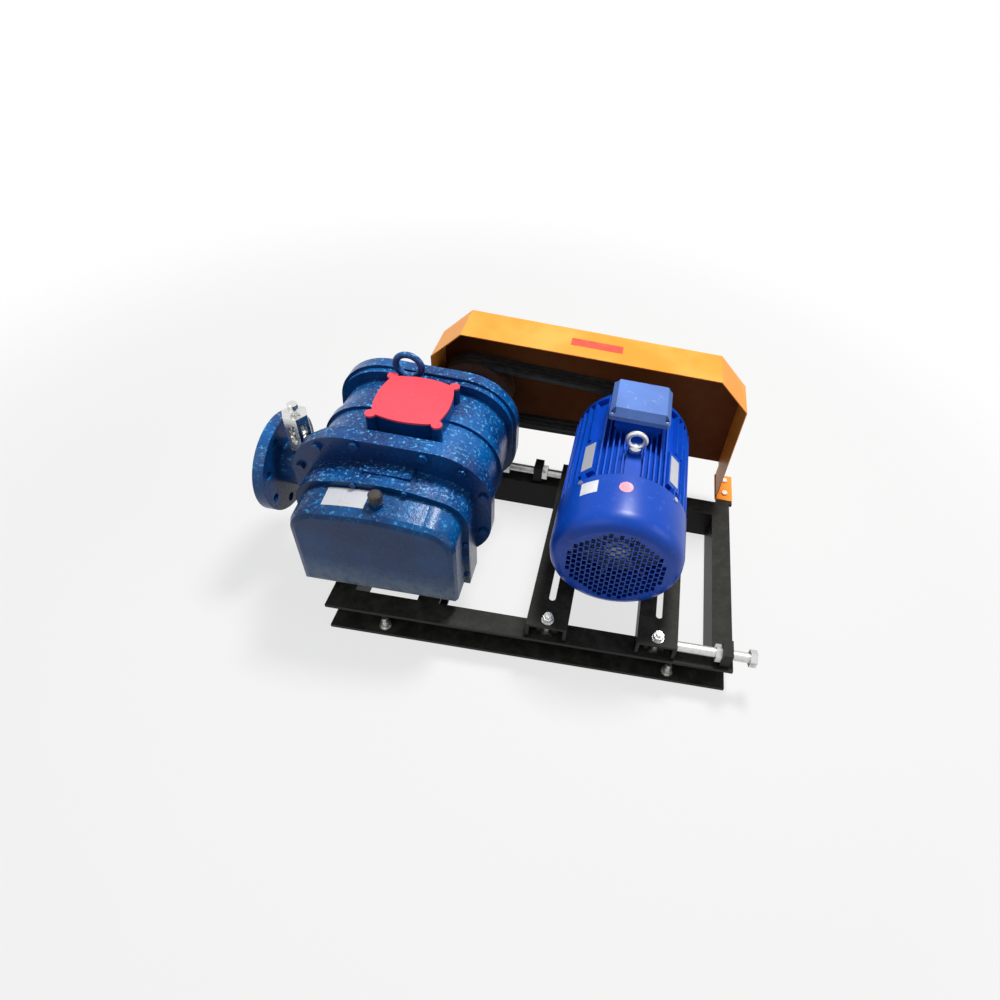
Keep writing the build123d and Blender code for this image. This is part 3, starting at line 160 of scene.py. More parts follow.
class Tree:
    """A node tree with one method that makes any node."""

    def __init__(self, tree: bpy.types.NodeTree) -> None:
        """Wraps an empty tree."""
        self.tree = tree

    def add(self, kind: str, settings: dict[str, Any], *values: Any, output: Union[int, str] = 0) -> Any:
        """Makes a node, sets it up and fills its inputs.

        Args:
            kind: the node's type name.
            settings: its properties.
            values: inputs by position; None leaves one as it is, and a dict names them.
            output: which output to return.

        Returns:
            The chosen output, or None for a node that has none.
        """
        node = self.tree.nodes.new(kind)
        for key, value in settings.items():
            setattr(node, key, value)
        for index, value in enumerate(values):
            if isinstance(value, dict):
                for name, item in value.items():
                    self._feed(node.inputs[name], item)
            elif value is not None:
                self._feed(node.inputs[index], value)
        return Sock(self, node.outputs[output]) if len(node.outputs) else None

    def _feed(self, target: bpy.types.NodeSocket, value: Any) -> None:
        """Links one Sock or several to an input, or sets its value."""
        if isinstance(value, Sock):
            self.tree.links.new(value.socket, target)
        elif isinstance(value, list):
            for item in value:
                self.tree.links.new(item.socket, target)
        elif isinstance(value, tuple) and len(value) == 3 and target.type == "RGBA":
            target.default_value = (*value, 1.0)
        else:
            target.default_value = value

    def axes(self, vector: Sock) -> tuple[Sock, Sock, Sock]:
        """Splits a vector into its three parts."""
        first = self.add("ShaderNodeSeparateXYZ", {}, vector)
        outputs = first.socket.node.outputs
        return Sock(self, outputs[0]), Sock(self, outputs[1]), Sock(self, outputs[2])


class Graph(Tree):
    """A material's node tree."""

    def __init__(self, name: str) -> None:
        """Starts an empty material of that name."""
        self.material = bpy.data.materials.new(name)
        self.material.use_nodes = True
        super().__init__(self.material.node_tree)
        self.tree.nodes.clear()

    def place(self) -> Sock:
        """Returns the Object coordinates, in metres in the row frame."""
        return self.add("ShaderNodeTexCoord", {}, output="Object")

    def noise(self, scale: float, detail: float, rough: float) -> Sock:
        """Returns a noise pattern in Object space.

        Args:
            scale: features per metre.
            detail: octaves.
            rough: how strong the finer octaves are.

        Returns:
            The noise value, about 0 to 1.
        """
        inputs = {"Vector": self.place(), "Scale": scale, "Detail": detail, "Roughness": rough}
        return self.add("ShaderNodeTexNoise", {}, inputs)

    def mix(self, factor: Union[Sock, Number], first: Any, second: Any) -> Sock:
        """Mixes two colours.

        Args:
            factor: the second colour's share, 0 to 1.
            first: one colour.
            second: the other colour.

        Returns:
            The mixed colour.
        """
        settings = {"data_type": "RGBA"}
        return self.add("ShaderNodeMix", settings, {0: factor, 6: first, 7: second}, output=2)

    def facing(self) -> tuple[Sock, Sock, Sock]:
        """Returns how much the surface faces right, back and up, each -1 to 1."""
        return self.axes(self.add("ShaderNodeNewGeometry", {}, output="Normal"))

    def facing_up(self) -> Sock:
        """Returns how much the surface faces up, -1 to 1."""
        return self.facing()[2]

    def bump(self, height: Sock, strength: float, distance: float) -> Sock:
        """Roughens the surface by a height pattern.

        Args:
            height: the pattern.
            strength: how much of it shows, 0 to 1.
            distance: its depth, in metres.

        Returns:
            The new normal.
        """
        return self.add("ShaderNodeBump", {}, {"Strength": strength, "Distance": distance, "Height": height})

    def finish(self, **inputs: Any) -> bpy.types.Material:
        """Ends the graph in a Principled shader.

        Args:
            inputs: the shader's inputs by name, with underscores for spaces.

        Returns:
            The finished material.
        """
        named = {key.replace("_", " "): value for key, value in inputs.items()}
        shader = self.add("ShaderNodeBsdfPrincipled", {}, named)
        self.add("ShaderNodeOutputMaterial", {}, shader)
        return self.material


class Pattern(Tree):
    """A Geometry Nodes tree with named inputs, run once and left as a plain mesh."""

    def __init__(self, name: str, numbers: dict[str, float]) -> None:
        """Starts a tree.

        Args:
            name: the tree's name.
            numbers: its named inputs and their values.
        """
        super().__init__(bpy.data.node_groups.new(name, "GeometryNodeTree"))
        self.numbers = numbers
        sockets = self.tree.interface
        sockets.new_socket("Geometry", in_out="OUTPUT", socket_type="NodeSocketGeometry")
        sockets.new_socket("Geometry", in_out="INPUT", socket_type="NodeSocketGeometry")
        self.keys = {}
        for key in numbers:
            self.keys[key] = sockets.new_socket(key, in_out="INPUT", socket_type="NodeSocketFloat").identifier
        self.entry = self.tree.nodes.new("NodeGroupInput")

    def given(self, name: str) -> Sock:
        """Returns one of the tree's inputs."""
        return Sock(self, self.entry.outputs[name])

    def vector(self, *parts: Union[Sock, Number]) -> Sock:
        """Joins three numbers into a vector."""
        return self.add("ShaderNodeCombineXYZ", {}, *parts)

    def run(self, shape: Sock, finish: bpy.types.Material, piece: bpy.types.Object) -> None:
        """Ends the tree and replaces the piece's mesh by its result.

        Args:
            shape: the geometry that the tree ends in.
            finish: the material of the whole result.
            piece: the object whose mesh goes in and is replaced.
        """
        real = self.add("GeometryNodeRealizeInstances", {}, {"Geometry": shape})
        done = self.add("GeometryNodeSetMaterial", {}, {"Geometry": real, "Material": finish})
        self.add("NodeGroupOutput", {}, done)
        modifier = piece.modifiers.new(self.tree.name, "NODES")
        modifier.node_group = self.tree
        for key, value in self.numbers.items():
            modifier[self.keys[key]] = value
        seen = piece.evaluated_get(bpy.context.evaluated_depsgraph_get())
        mesh = bpy.data.meshes.new_from_object(seen)
        piece.modifiers.remove(modifier)
        piece.data = mesh


# ------------------------------------------------------------------ finishes
@dataclass(frozen=True)
class CastPaint:
    """Glossy enamel over rough castings, with pale painted highlight flecks on top, painted shade on what
    faces sideways and down, and dust where dust settles.
    """

    name: str
    colour: tuple[float, float, float]
    # The next colour is a painted highlight; the one after is the deep tone and also the painted shade.
    painted_highlight: tuple[float, float, float]
    deep_tone_and_shade: tuple[float, float, float]
    roughness: float = 0.26
    grain: float = 0.55
    dust: float = 0.35
    shine: float = 0.16
    dust_below: float = 0.0
    dust_colour: tuple[float, float, float] = rgb(122, 134, 146)
    cloud_scale: float = 9
    pebble_scale: float = 150
    fine_scale: float = 420
    speck_scale: float = 260
    patch_scale: float = 55
    dust_fade: tuple[float, float] = (55 * MM, 30 * MM)
    relief_depth: float = 1.1 * MM

    def build(self) -> bpy.types.Material:
        """Makes the material."""
        g = Graph(self.name)
        cloud = g.noise(self.cloud_scale, 4, 0.55)
        pebble = g.noise(self.pebble_scale, 3, 0.6)
        fine = g.noise(self.fine_scale, 2, 0.6)
        tone = g.mix(cloud.ramp(0.36, 0.66), self.deep_tone_and_shade, self.colour)
        up = g.facing_up()
        lit = up.ramp(-0.1, 0.8)
        # Painted highlight: pale flecks, strongest on what faces up.
        tone = g.mix(pebble.ramp(0.54, 0.7) * (0.15 + lit * 0.75), tone, self.painted_highlight)
        # Painted shade: darker on what faces sideways and down.
        tone = g.mix((1 - lit) * 0.6, tone, self.deep_tone_and_shade)
        speck = g.noise(self.speck_scale, 4, 0.65).ramp(0.5, 0.62)
        settled = up.ramp(0.35, 0.98) * speck * self.dust
        if self.dust_below > 0:
            height = g.axes(g.place())[2]
            under, over = self.dust_fade
            low = 1 - height.ramp(self.dust_below - under, self.dust_below + over)
            side = 1 - up.ramp(0.5, 0.9)
            patch = (g.noise(self.patch_scale, 5, 0.7).ramp(0.3, 0.62) * 0.7 + 0.3) * low * side
            settled = settled.top(patch * 0.9)
        tone = g.mix(settled.clamp(), tone, self.dust_colour)
        rough = self.roughness + settled * 0.4 + fine * 0.12
        relief = g.bump(pebble * 0.7 + fine * 0.3, self.grain, self.relief_depth)
        return g.finish(Base_Color=tone, Roughness=rough, Normal=relief, Specular_IOR_Level=self.shine)


@dataclass(frozen=True)
class Enamel:
    """Smooth satin enamel on sheet and fine castings, with faint scuffs."""

    name: str
    colour: tuple[float, float, float]
    scuff: tuple[float, float, float]
    roughness: float = 0.36
    scuffing: float = 0.25
    shine: float = 0.22
    cloud_scale: float = 7
    wear_scale: float = 70
    fine_scale: float = 700
    deepest: float = 0.8
    relief: float = 0.12
    relief_depth: float = 0.3 * MM

    def build(self) -> bpy.types.Material:
        """Makes the material."""
        g = Graph(self.name)
        cloud = g.noise(self.cloud_scale, 3, 0.5)
        deep = tuple(self.deepest * part for part in self.colour)
        tone = g.mix(cloud.ramp(0.35, 0.68), deep, self.colour)
        wear = g.noise(self.wear_scale, 6, 0.7).ramp(0.58, 0.72) * self.scuffing
        tone = g.mix(wear, tone, self.scuff)
        fine = g.noise(self.fine_scale, 2, 0.5)
        rough = self.roughness + wear * 0.4 + cloud * 0.08
        relief = g.bump(fine, self.relief, self.relief_depth)
        return g.finish(Base_Color=tone, Roughness=rough, Normal=relief, Specular_IOR_Level=self.shine)


@dataclass(frozen=True)
class GuardPaint:
    """Yellow-orange sheet paint outside, with mottled brown painted shade on the inside of the back wall and
    on what faces down behind front_y.
    """

    name: str
    colour: tuple[float, float, float] = rgb(240, 144, 46)
    pale: tuple[float, float, float] = rgb(244, 164, 74)
    # The next two colours are the mottled brown painted shade inside the guard.
    inside: tuple[float, float, float] = rgb(120, 62, 26)
    shade_mottle: tuple[float, float, float] = rgb(132, 76, 32)
    front_y: float = 190 * MM
    front_fade: float = 10 * MM
    cloud_scale: float = 7
    shade_mottle_scale: float = 14
    fine_scale: float = 600
    roughness: float = 0.42
    shine: float = 0.2
    relief: float = 0.1
    relief_depth: float = 0.3 * MM

    def build(self) -> bpy.types.Material:
        """Makes the material."""
        g = Graph(self.name)
        _, back, up = g.facing()
        depth = g.axes(g.place())[1]
        behind = depth.ramp(self.front_y, self.front_y + self.front_fade)
        # Painted shade: faces turned to the front or down, behind front_y, go mottled brown.
        shaded_inside = (0 - back).top(0 - up).ramp(0.3, 0.6) * behind
        tone = g.mix(g.noise(self.cloud_scale, 3, 0.5).ramp(0.35, 0.68), self.colour, self.pale)
        painted_shade = g.mix(g.noise(self.shade_mottle_scale, 4, 0.6).ramp(0.3, 0.7), self.inside, self.shade_mottle)
        tone = g.mix(shaded_inside, tone, painted_shade)
        rough = self.roughness + shaded_inside * 0.25
        relief = g.bump(g.noise(self.fine_scale, 2, 0.5), self.relief, self.relief_depth)
        return g.finish(Base_Color=tone, Roughness=rough, Normal=relief, Specular_IOR_Level=self.shine)


@dataclass(frozen=True)
class BlackFrame:
    """Black primer on rolled channel, greyed by dust on what faces up."""

    name: str
    colour: tuple[float, float, float] = rgb(9, 9, 9)
    dust_colour: tuple[float, float, float] = rgb(66, 65, 60)
    dust_scale: float = 38
    mill_scale: float = 24
    pit_scale: float = 190
    roughness: float = 0.42
    shine: float = 0.12
    relief: float = 0.3
    relief_depth: float = 0.8 * MM

    def build(self) -> bpy.types.Material:
        """Makes the material."""
        g = Graph(self.name)
        up = g.facing_up()
        dust = up.ramp(0.3, 0.95) * (0.25 + 0.45 * g.noise(self.dust_scale, 5, 0.7).ramp(0.38, 0.68))
        scale = g.noise(self.mill_scale, 4, 0.6).ramp(0.5, 0.75) * 0.12
        tone = g.mix((dust + scale).clamp(), self.colour, self.dust_colour)
        rough = self.roughness + dust * 0.45
        relief = g.bump(g.noise(self.pit_scale, 3, 0.6), self.relief, self.relief_depth)
        return g.finish(Base_Color=tone, Roughness=rough, Normal=relief, Specular_IOR_Level=self.shine)


@dataclass(frozen=True)
class Metal:
    """Bare or plated metal with fine tool marks and stains."""

    name: str
    colour: tuple[float, float, float]
    stain: tuple[float, float, float]
    roughness: float = 0.3
    staining: float = 0.3
    metallic: float = 1.0
    grain: float = 0.15
    spot_scale: float = 90
    brushed_scale: float = 420
    grain_scale: float = 500
    relief_depth: float = 0.4 * MM

    def build(self) -> bpy.types.Material:
        """Makes the material."""
        g = Graph(self.name)
        spots = g.noise(self.spot_scale, 4, 0.6).ramp(0.5, 0.72) * self.staining
        tone = g.mix(spots, self.colour, self.stain)
        rough = self.roughness + spots * 0.5 + g.noise(self.brushed_scale, 2, 0.5) * 0.1
        metal = self.metallic - spots * 0.5
        relief = g.bump(g.noise(self.grain_scale, 3, 0.6), self.grain, self.relief_depth)
        return g.finish(Base_Color=tone, Roughness=rough, Metallic=metal.clamp(), Normal=relief)


@dataclass(frozen=True)
class Moulded:
    """Rubber or plastic with a fine mottled skin."""

    name: str
    colour: tuple[float, float, float]
    bloom: tuple[float, float, float]
    roughness: float = 0.6
    patch_scale: float = 60
    fine_scale: float = 600
    relief: float = 0.2
    relief_depth: float = 0.4 * MM

    def build(self) -> bpy.types.Material:
        """Makes the material."""
        g = Graph(self.name)
        patch = g.noise(self.patch_scale, 4, 0.6).ramp(0.42, 0.72)
        tone = g.mix(patch * 0.6, self.colour, self.bloom)
        relief = g.bump(g.noise(self.fine_scale, 2, 0.5), self.relief, self.relief_depth)
        return g.finish(Base_Color=tone, Roughness=self.roughness + patch * 0.12, Normal=relief)


@dataclass(frozen=True)
class SightGlass:
    """Clear glass with a film of oil."""

    name: str
    colour: tuple[float, float, float] = rgb(214, 206, 160)
    clear: tuple[float, float, float] = rgb(240, 240, 225)
    film_scale: float = 120
    glass_ior: float = 1.5

    def build(self) -> bpy.types.Material:
        """Makes the material."""
        g = Graph(self.name)
        film = g.noise(self.film_scale, 3, 0.5)
        tone = g.mix(film.ramp(0.4, 0.7), self.colour, self.clear)
        rough, alpha = 0.05 + film * 0.06, 0.55 + film * 0.2
        return g.finish(Base_Color=tone, Roughness=rough, Alpha=alpha, IOR=self.glass_ior)


class Finish(Enum):
    """Every finish of the set."""

    # Cast paints list their colour, a painted highlight colour, and a deep tone that also serves as painted
    # shade.
    PUMP = CastPaint(
        "pump_paint", rgb(4, 88, 156), rgb(84, 172, 226), rgb(1, 44, 100),
        roughness=0.17, grain=0.9, dust=0.1, shine=0.3,
    )
    GEARBOX = CastPaint(
        "gearbox_paint", rgb(4, 84, 146), rgb(64, 150, 204), rgb(1, 44, 92),
        roughness=0.19, grain=0.65, dust=0.1, shine=0.22, dust_below=175 * MM,
    )
    MOTOR = Enamel("motor_paint", rgb(6, 72, 184), rgb(96, 142, 222), roughness=0.3, shine=0.3)
    LID = Enamel("lid_paint", rgb(92, 126, 196), rgb(176, 194, 232), roughness=0.4, scuffing=0.35)
    FRAME = BlackFrame("frame_paint")
    GUARD = GuardPaint("guard_paint")
    PAPER = Moulded("sticker_paper", rgb(226, 226, 226), rgb(196, 202, 214), roughness=0.5)
    PINK = Moulded("sticker_pink", rgb(224, 142, 160), rgb(238, 196, 204), roughness=0.45)
    RED = Moulded("sticker_red", rgb(196, 60, 38), rgb(214, 96, 58), roughness=0.45)
    COVER = Enamel("cover_paint", rgb(236, 78, 92), rgb(250, 140, 146), roughness=0.5, scuffing=0.2)
    ZINC = Metal("zinc_plate", rgb(205, 206, 204), rgb(120, 112, 96), roughness=0.32, staining=0.35)
    STEEL = Metal("machined_steel", rgb(176, 176, 176), rgb(96, 84, 70))
    CHROME = Metal("valve_chrome", rgb(222, 222, 220), rgb(140, 134, 122), roughness=0.14, staining=0.25)
    IRON = Metal("rotor_iron", rgb(120, 120, 122), rgb(70, 62, 54), roughness=0.42, staining=0.4)
    PULLEY = Metal(
        "pulley_iron", rgb(98, 66, 48), rgb(60, 34, 22), roughness=0.55, staining=0.6, metallic=0.5
    )
    BELT = Moulded("belt_rubber", rgb(34, 36, 36), rgb(66, 70, 68), roughness=0.62)
    SEAL = Moulded("seal_rubber", rgb(40, 30, 28), rgb(64, 54, 50), roughness=0.5)
    CAP = Moulded("cap_plastic", rgb(38, 34, 32), rgb(82, 70, 62), roughness=0.45)
    FAN = Moulded("fan_plastic", rgb(170, 178, 190), rgb(120, 132, 152), roughness=0.5)
    PLATE = Metal("plate_tin", rgb(196, 198, 204), rgb(170, 158, 132), roughness=0.38, metallic=0.35)
    WINDING = Metal(
        "copper_winding", rgb(150, 92, 54), rgb(84, 52, 34), roughness=0.4, staining=0.5, metallic=0.6
    )
    GLASS = SightGlass("sight_glass")


MATERIALS: dict[Finish, bpy.types.Material] = {}


def material(finish: Finish) -> bpy.types.Material:
    """Makes a finish's material the first time it is asked for.

    Args:
        finish: the finish.

    Returns:
        Its material.
    """
    if finish not in MATERIALS:
        MATERIALS[finish] = finish.value.build()
    return MATERIALS[finish]


def dress(finish: Finish, *nodes: str) -> None:
    """Gives CAD nodes their finish.

    Args:
        finish: the finish.
        nodes: the nodes' names.
    """
    for node in nodes:
        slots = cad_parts[node].data.materials
        slots.clear()
        slots.append(material(finish))
        LOG.info("dressed %s as %s", node, finish.name.lower())


def copy_of(node: str, name: str) -> bpy.types.Object:
    """Copies a CAD node's shape into a new piece with its faces joined.

    Args:
        node: the CAD node.
        name: the new piece's name.

    Returns:
        The new piece.
    """
    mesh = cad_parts[node].data.copy()
    shape = bmesh.new()
    shape.from_mesh(mesh)
    bmesh.ops.remove_doubles(shape, verts=shape.verts, dist=WELD)
    shape.to_mesh(mesh)
    shape.free()
    mesh.set_sharp_from_angle(angle=SHARP_COPY)
    piece = bpy.data.objects.new(name, mesh)
    bpy.context.scene.collection.objects.link(piece)
    return piece


def show(piece: bpy.types.Object, body: Optional[str], finish: Finish, slot: str, *replaced: str) -> None:
    """Finishes a piece and joins it to its body.

    Args:
        piece: the new piece.
        body: the body it rides on, or None for one that rides on none.
        finish: its finish.
        slot: not used.
        replaced: the CAD nodes it stands for.
    """
    piece.data.materials.clear()
    piece.data.materials.append(material(finish))
    if body:
        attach(piece, body)
    if replaced:
        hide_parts(*replaced)
    LOG.info("built %s", piece.name)


def new_piece(
    name: str, points: Sequence[Sequence[float]], faces: Sequence[Sequence[int]]
) -> bpy.types.Object:
    """Makes a piece from points and faces, with its normals outwards.

    Args:
        name: the piece's name.
        points: its points, in metres.
        faces: the points of each face, by number.

    Returns:
        The new piece.
    """
    mesh = bpy.data.meshes.new(name)
    mesh.from_pydata([tuple(point) for point in points], [], [tuple(face) for face in faces])
    shape = bmesh.new()
    shape.from_mesh(mesh)
    bmesh.ops.recalc_face_normals(shape, faces=shape.faces)
    shape.to_mesh(mesh)
    shape.free()
    piece = bpy.data.objects.new(name, mesh)
    bpy.context.scene.collection.objects.link(piece)
    return piece


def lathe(name: str, centre: Vector, profile: Sequence[tuple[float, float]], steps: int) -> bpy.types.Object:
    """Turns a closed profile about an axis along Y.

    Args:
        name: the piece's name.
        centre: a point on the axis; only its x and z count.
        profile: the closed outline as (y, radius).
        steps: how many stretches a turn has.

    Returns:
        The new piece.
    """
    points = []
    for step in range(steps):
        angle = 2 * math.pi * step / steps
        for y, radius in profile:
            points.append((centre.x + radius * math.cos(angle), y, centre.z + radius * math.sin(angle)))
    count = len(profile)
    faces = []
    for step in range(steps):
        here = step * count
        there = (step + 1) % steps * count
        for i in range(count):
            j = (i + 1) % count
            faces.append((here + i, here + j, there + j, there + i))
    piece = new_piece(name, points, faces)
    piece.data.shade_smooth()
    piece.data.set_sharp_from_angle(angle=SHARP_TURNED)
    return piece


@dataclass
class Sticker:
    """Blank sticker that lies on a cylinder whose axis runs along Y."""

    name: str
    finish: Finish
    angle: float
    centre_y: float
    width: float
    height: float
    round_ends: bool = False
    lift: float = 0.3 * MM
    gap: float = 0.1 * MM
    least_half: float = 0.01
    steps: int = 16

    def build(self, axis: Vector, radius: float, body: str, slot: str) -> None:
        """Makes the sticker on its cylinder.

        Args:
            axis: a point on the cylinder's axis.
            radius: the cylinder's radius.
            body: the body it rides on.
            slot: a material slot name, handed on to show.
        """
        points = []
        for layer in (0.0, self.lift):
            for row in range(self.steps + 1):
                v = row / self.steps * 2 - 1
                half = math.sqrt(max(1 - v * v, self.least_half**2)) if self.round_ends else 1.0
                for column in range(self.steps + 1):
                    turn = self.angle + (column / self.steps * 2 - 1) * half * self.width / 2 / radius
                    reach = radius + self.gap + layer
                    y = self.centre_y + v * self.height / 2
                    points.append((axis.x + reach * math.sin(turn), y, axis.z + reach * math.cos(turn)))
        piece = new_piece(self.name, points, self._faces())
        show(piece, body, self.finish, slot)

    def _faces(self) -> list[tuple[int, ...]]:
        """Returns the faces of a closed sheet of two layers."""
        side = self.steps + 1
        top = side * side
        faces = []
        for row in range(self.steps):
            for column in range(self.steps):
                corner = row * side + column
                under = (corner, corner + 1, corner + side + 1, corner + side)
                faces.append(tuple(reversed(under)))
                faces.append(tuple(index + top for index in under))
        rim = list(range(side)) + [r * side + side - 1 for r in range(1, side)]
        rim += [top - 1 - c for c in range(1, side)] + [(side - 1 - r) * side for r in range(1, side)]
        for here, there in zip(rim[:-1], rim[1:]):
            faces.append((here, there, there + top, here + top))
        return faces


# ------------------------------------------------------------------ studio
def seen_ray(tree: Tree) -> Sock:
    """Returns 1 for rays from the camera, a mirror or glass, and 0 for the others."""
    path = tree.add("ShaderNodeLightPath", {}, output="Is Camera Ray")
    outputs = path.socket.node.outputs
    return path.top(Sock(tree, outputs["Is Glossy Ray"])).top(Sock(tree, outputs["Is Transmission Ray"]))


@dataclass(frozen=True)
class Lamp:
    """Square soft lamp: its place and side in metres, its power in watts."""

    name: str
    at: tuple[float, float, float]
    size: float
    power: float


@dataclass
class Studio:
    """Pale floor, soft lamps and the camera."""

    camera_at: tuple[float, float, float] = (0.1318, -0.9335, 1.2299)
    camera_right: tuple[float, float, float] = (0.98381, 0.09212, 0.15376)
    camera_up: tuple[float, float, float] = (-0.17465, 0.68542, 0.70700)
    lens: float = 23.32
    shift: tuple[float, float] = (-0.1297, -0.0415)
    floor_size: float = 14.0
    floor_colour: tuple[float, float, float] = rgb(206, 206, 204)
    white_share: float = 0.72
    shadow_reach: float = 0.9
    sensor: float = 36
    aim: tuple[float, float, float] = (0, 0, 0.2)
    sky: tuple[float, float, float] = (0.93, 0.96, 1.0)
    sky_strength: float = 0.2
    lamps: tuple[Lamp, ...] = (
        Lamp("key", (0.35, 0.75, 2.7), 0.55, 78),
        Lamp("fill", (-1.5, -2.0, 2.1), 1.8, 12),
        Lamp("side", (2.6, -0.6, 1.7), 1.4, 15),
    )

    def build(self) -> None:
        """Makes the floor, the world, the lamps and the camera."""
        self._floor()
        self._world()
        for lamp in self.lamps:
            self._hang(lamp)
        self._camera()

    def _floor(self) -> None:
        """Makes the floor, white to the camera and a plain grey to the light."""
        half = self.floor_size / 2
        mesh = bpy.data.meshes.new("floor")
        corners = [(-half, -half, 0), (half, -half, 0), (half, half, 0), (-half, half, 0)]
        mesh.from_pydata(corners, [], [(0, 1, 2, 3)])
        floor = bpy.data.objects.new("floor", mesh)
        bpy.context.scene.collection.objects.link(floor)
        g = Graph("floor_paint")
        tone = g.mix(g.noise(3, 2, 0.5).ramp(0.3, 0.7) * 0.04, self.floor_colour, rgb(220, 220, 218))
        plain = g.add("ShaderNodeBsdfDiffuse", {}, {"Color": tone})
        white = g.add("ShaderNodeEmission", {}, {"Color": (1.0, 1.0, 1.0), "Strength": 1.0})
        x, y, _ = g.axes(g.place())
        far = (x * x + y * y).ramp(self.shadow_reach**2, (2 * self.shadow_reach) ** 2)
        share = self.white_share + far * (1 - self.white_share)
        surface = g.add("ShaderNodeMixShader", {}, seen_ray(g) * share, plain, white)
        g.add("ShaderNodeOutputMaterial", {}, surface)
        mesh.materials.append(g.material)

    def _world(self) -> None:
        """Makes an even sky that the camera sees as near white."""
        world = bpy.data.worlds.new("studio")
        bpy.context.scene.world = world
        world.use_nodes = True
        g = Tree(world.node_tree)
        g.tree.nodes.clear()
        light = g.add("ShaderNodeBackground", {}, self.sky, self.sky_strength)
        seen = g.add("ShaderNodeBackground", {}, (1.0, 1.0, 1.0), 1.0)
        g.add("ShaderNodeOutputWorld", {}, g.add("ShaderNodeMixShader", {}, seen_ray(g), light, seen))

    def _hang(self, lamp: Lamp) -> None:
        """Hangs a lamp that faces the middle of the set.

        Args:
            lamp: the lamp.
        """
        data = bpy.data.lights.new(lamp.name, "AREA")
        data.size = lamp.size
        data.energy = lamp.power
        hung = bpy.data.objects.new(lamp.name, data)
        bpy.context.scene.collection.objects.link(hung)
        hung.location = lamp.at
        hung.rotation_euler = (Vector(self.aim) - Vector(lamp.at)).to_track_quat("-Z", "Y").to_euler()

    def _camera(self) -> None:
        """Sets the camera at its measured place, tilt and lens."""
        data = bpy.data.cameras.new("camera")
        data.sensor_width = self.sensor
        data.lens = self.lens
        data.shift_x, data.shift_y = self.shift
        camera = bpy.data.objects.new("camera", data)
        bpy.context.scene.collection.objects.link(camera)
        right = Vector(self.camera_right).normalized()
        back = right.cross(Vector(self.camera_up)).normalized()
        up = back.cross(right)
        turn = Matrix((right, up, back)).transposed().to_4x4()
        camera.matrix_world = Matrix.Translation(self.camera_at) @ turn
        bpy.context.scene.camera = camera


# ------------------------------------------------------------------ the set
class Skid:
    """Channel skid with its anchors, lugs and jacks."""

    def build(self) -> None:
        """Dresses the skid's nodes."""
        dress(Finish.FRAME, "front_beam", "rear_beam", "cross_beams", "welded_lugs", "slide_rails")
        dress(Finish.ZINC, "anchor_bolts", "jack_lock_nuts", "front_jack", "rear_jack", "rail_bolts")


class Pump:
    """Pump casing, plates, gearbox and what they carry."""

    def build(self) -> None:
        """Dresses the pump's nodes."""
        dress(Finish.PUMP, "pump_casing", "front_end_plate", "rear_end_plate", "gearbox_housing")
        dress(Finish.PUMP, "bearing_caps", "end_plate_screws", "gearbox_screws")
        dress(Finish.PUMP, "pump_eye_bolt", "discharge_spool")
        dress(Finish.GEARBOX, "gearbox_cover")
        dress(Finish.ZINC, "pump_foot_bolts", "oil_drain_plug")
        dress(Finish.GLASS, "oil_sight_glass")
        dress(Finish.PLATE, "gearbox_nameplate")
        dress(Finish.CAP, "filler_cap")
        dress(Finish.COVER, "port_cover")
        dress(Finish.CHROME, "relief_valve_body", "relief_valve_stem")
        dress(Finish.STEEL, "relief_valve_spring", "pump_bearings", "drive_shaft", "driven_shaft")
        dress(Finish.STEEL, "drive_timing_gear", "driven_timing_gear")
        dress(Finish.STEEL, "drive_bearing_inners", "driven_bearing_inners")
        dress(Finish.IRON, "drive_rotor", "driven_rotor")
        dress(Finish.SEAL, "shaft_seals")


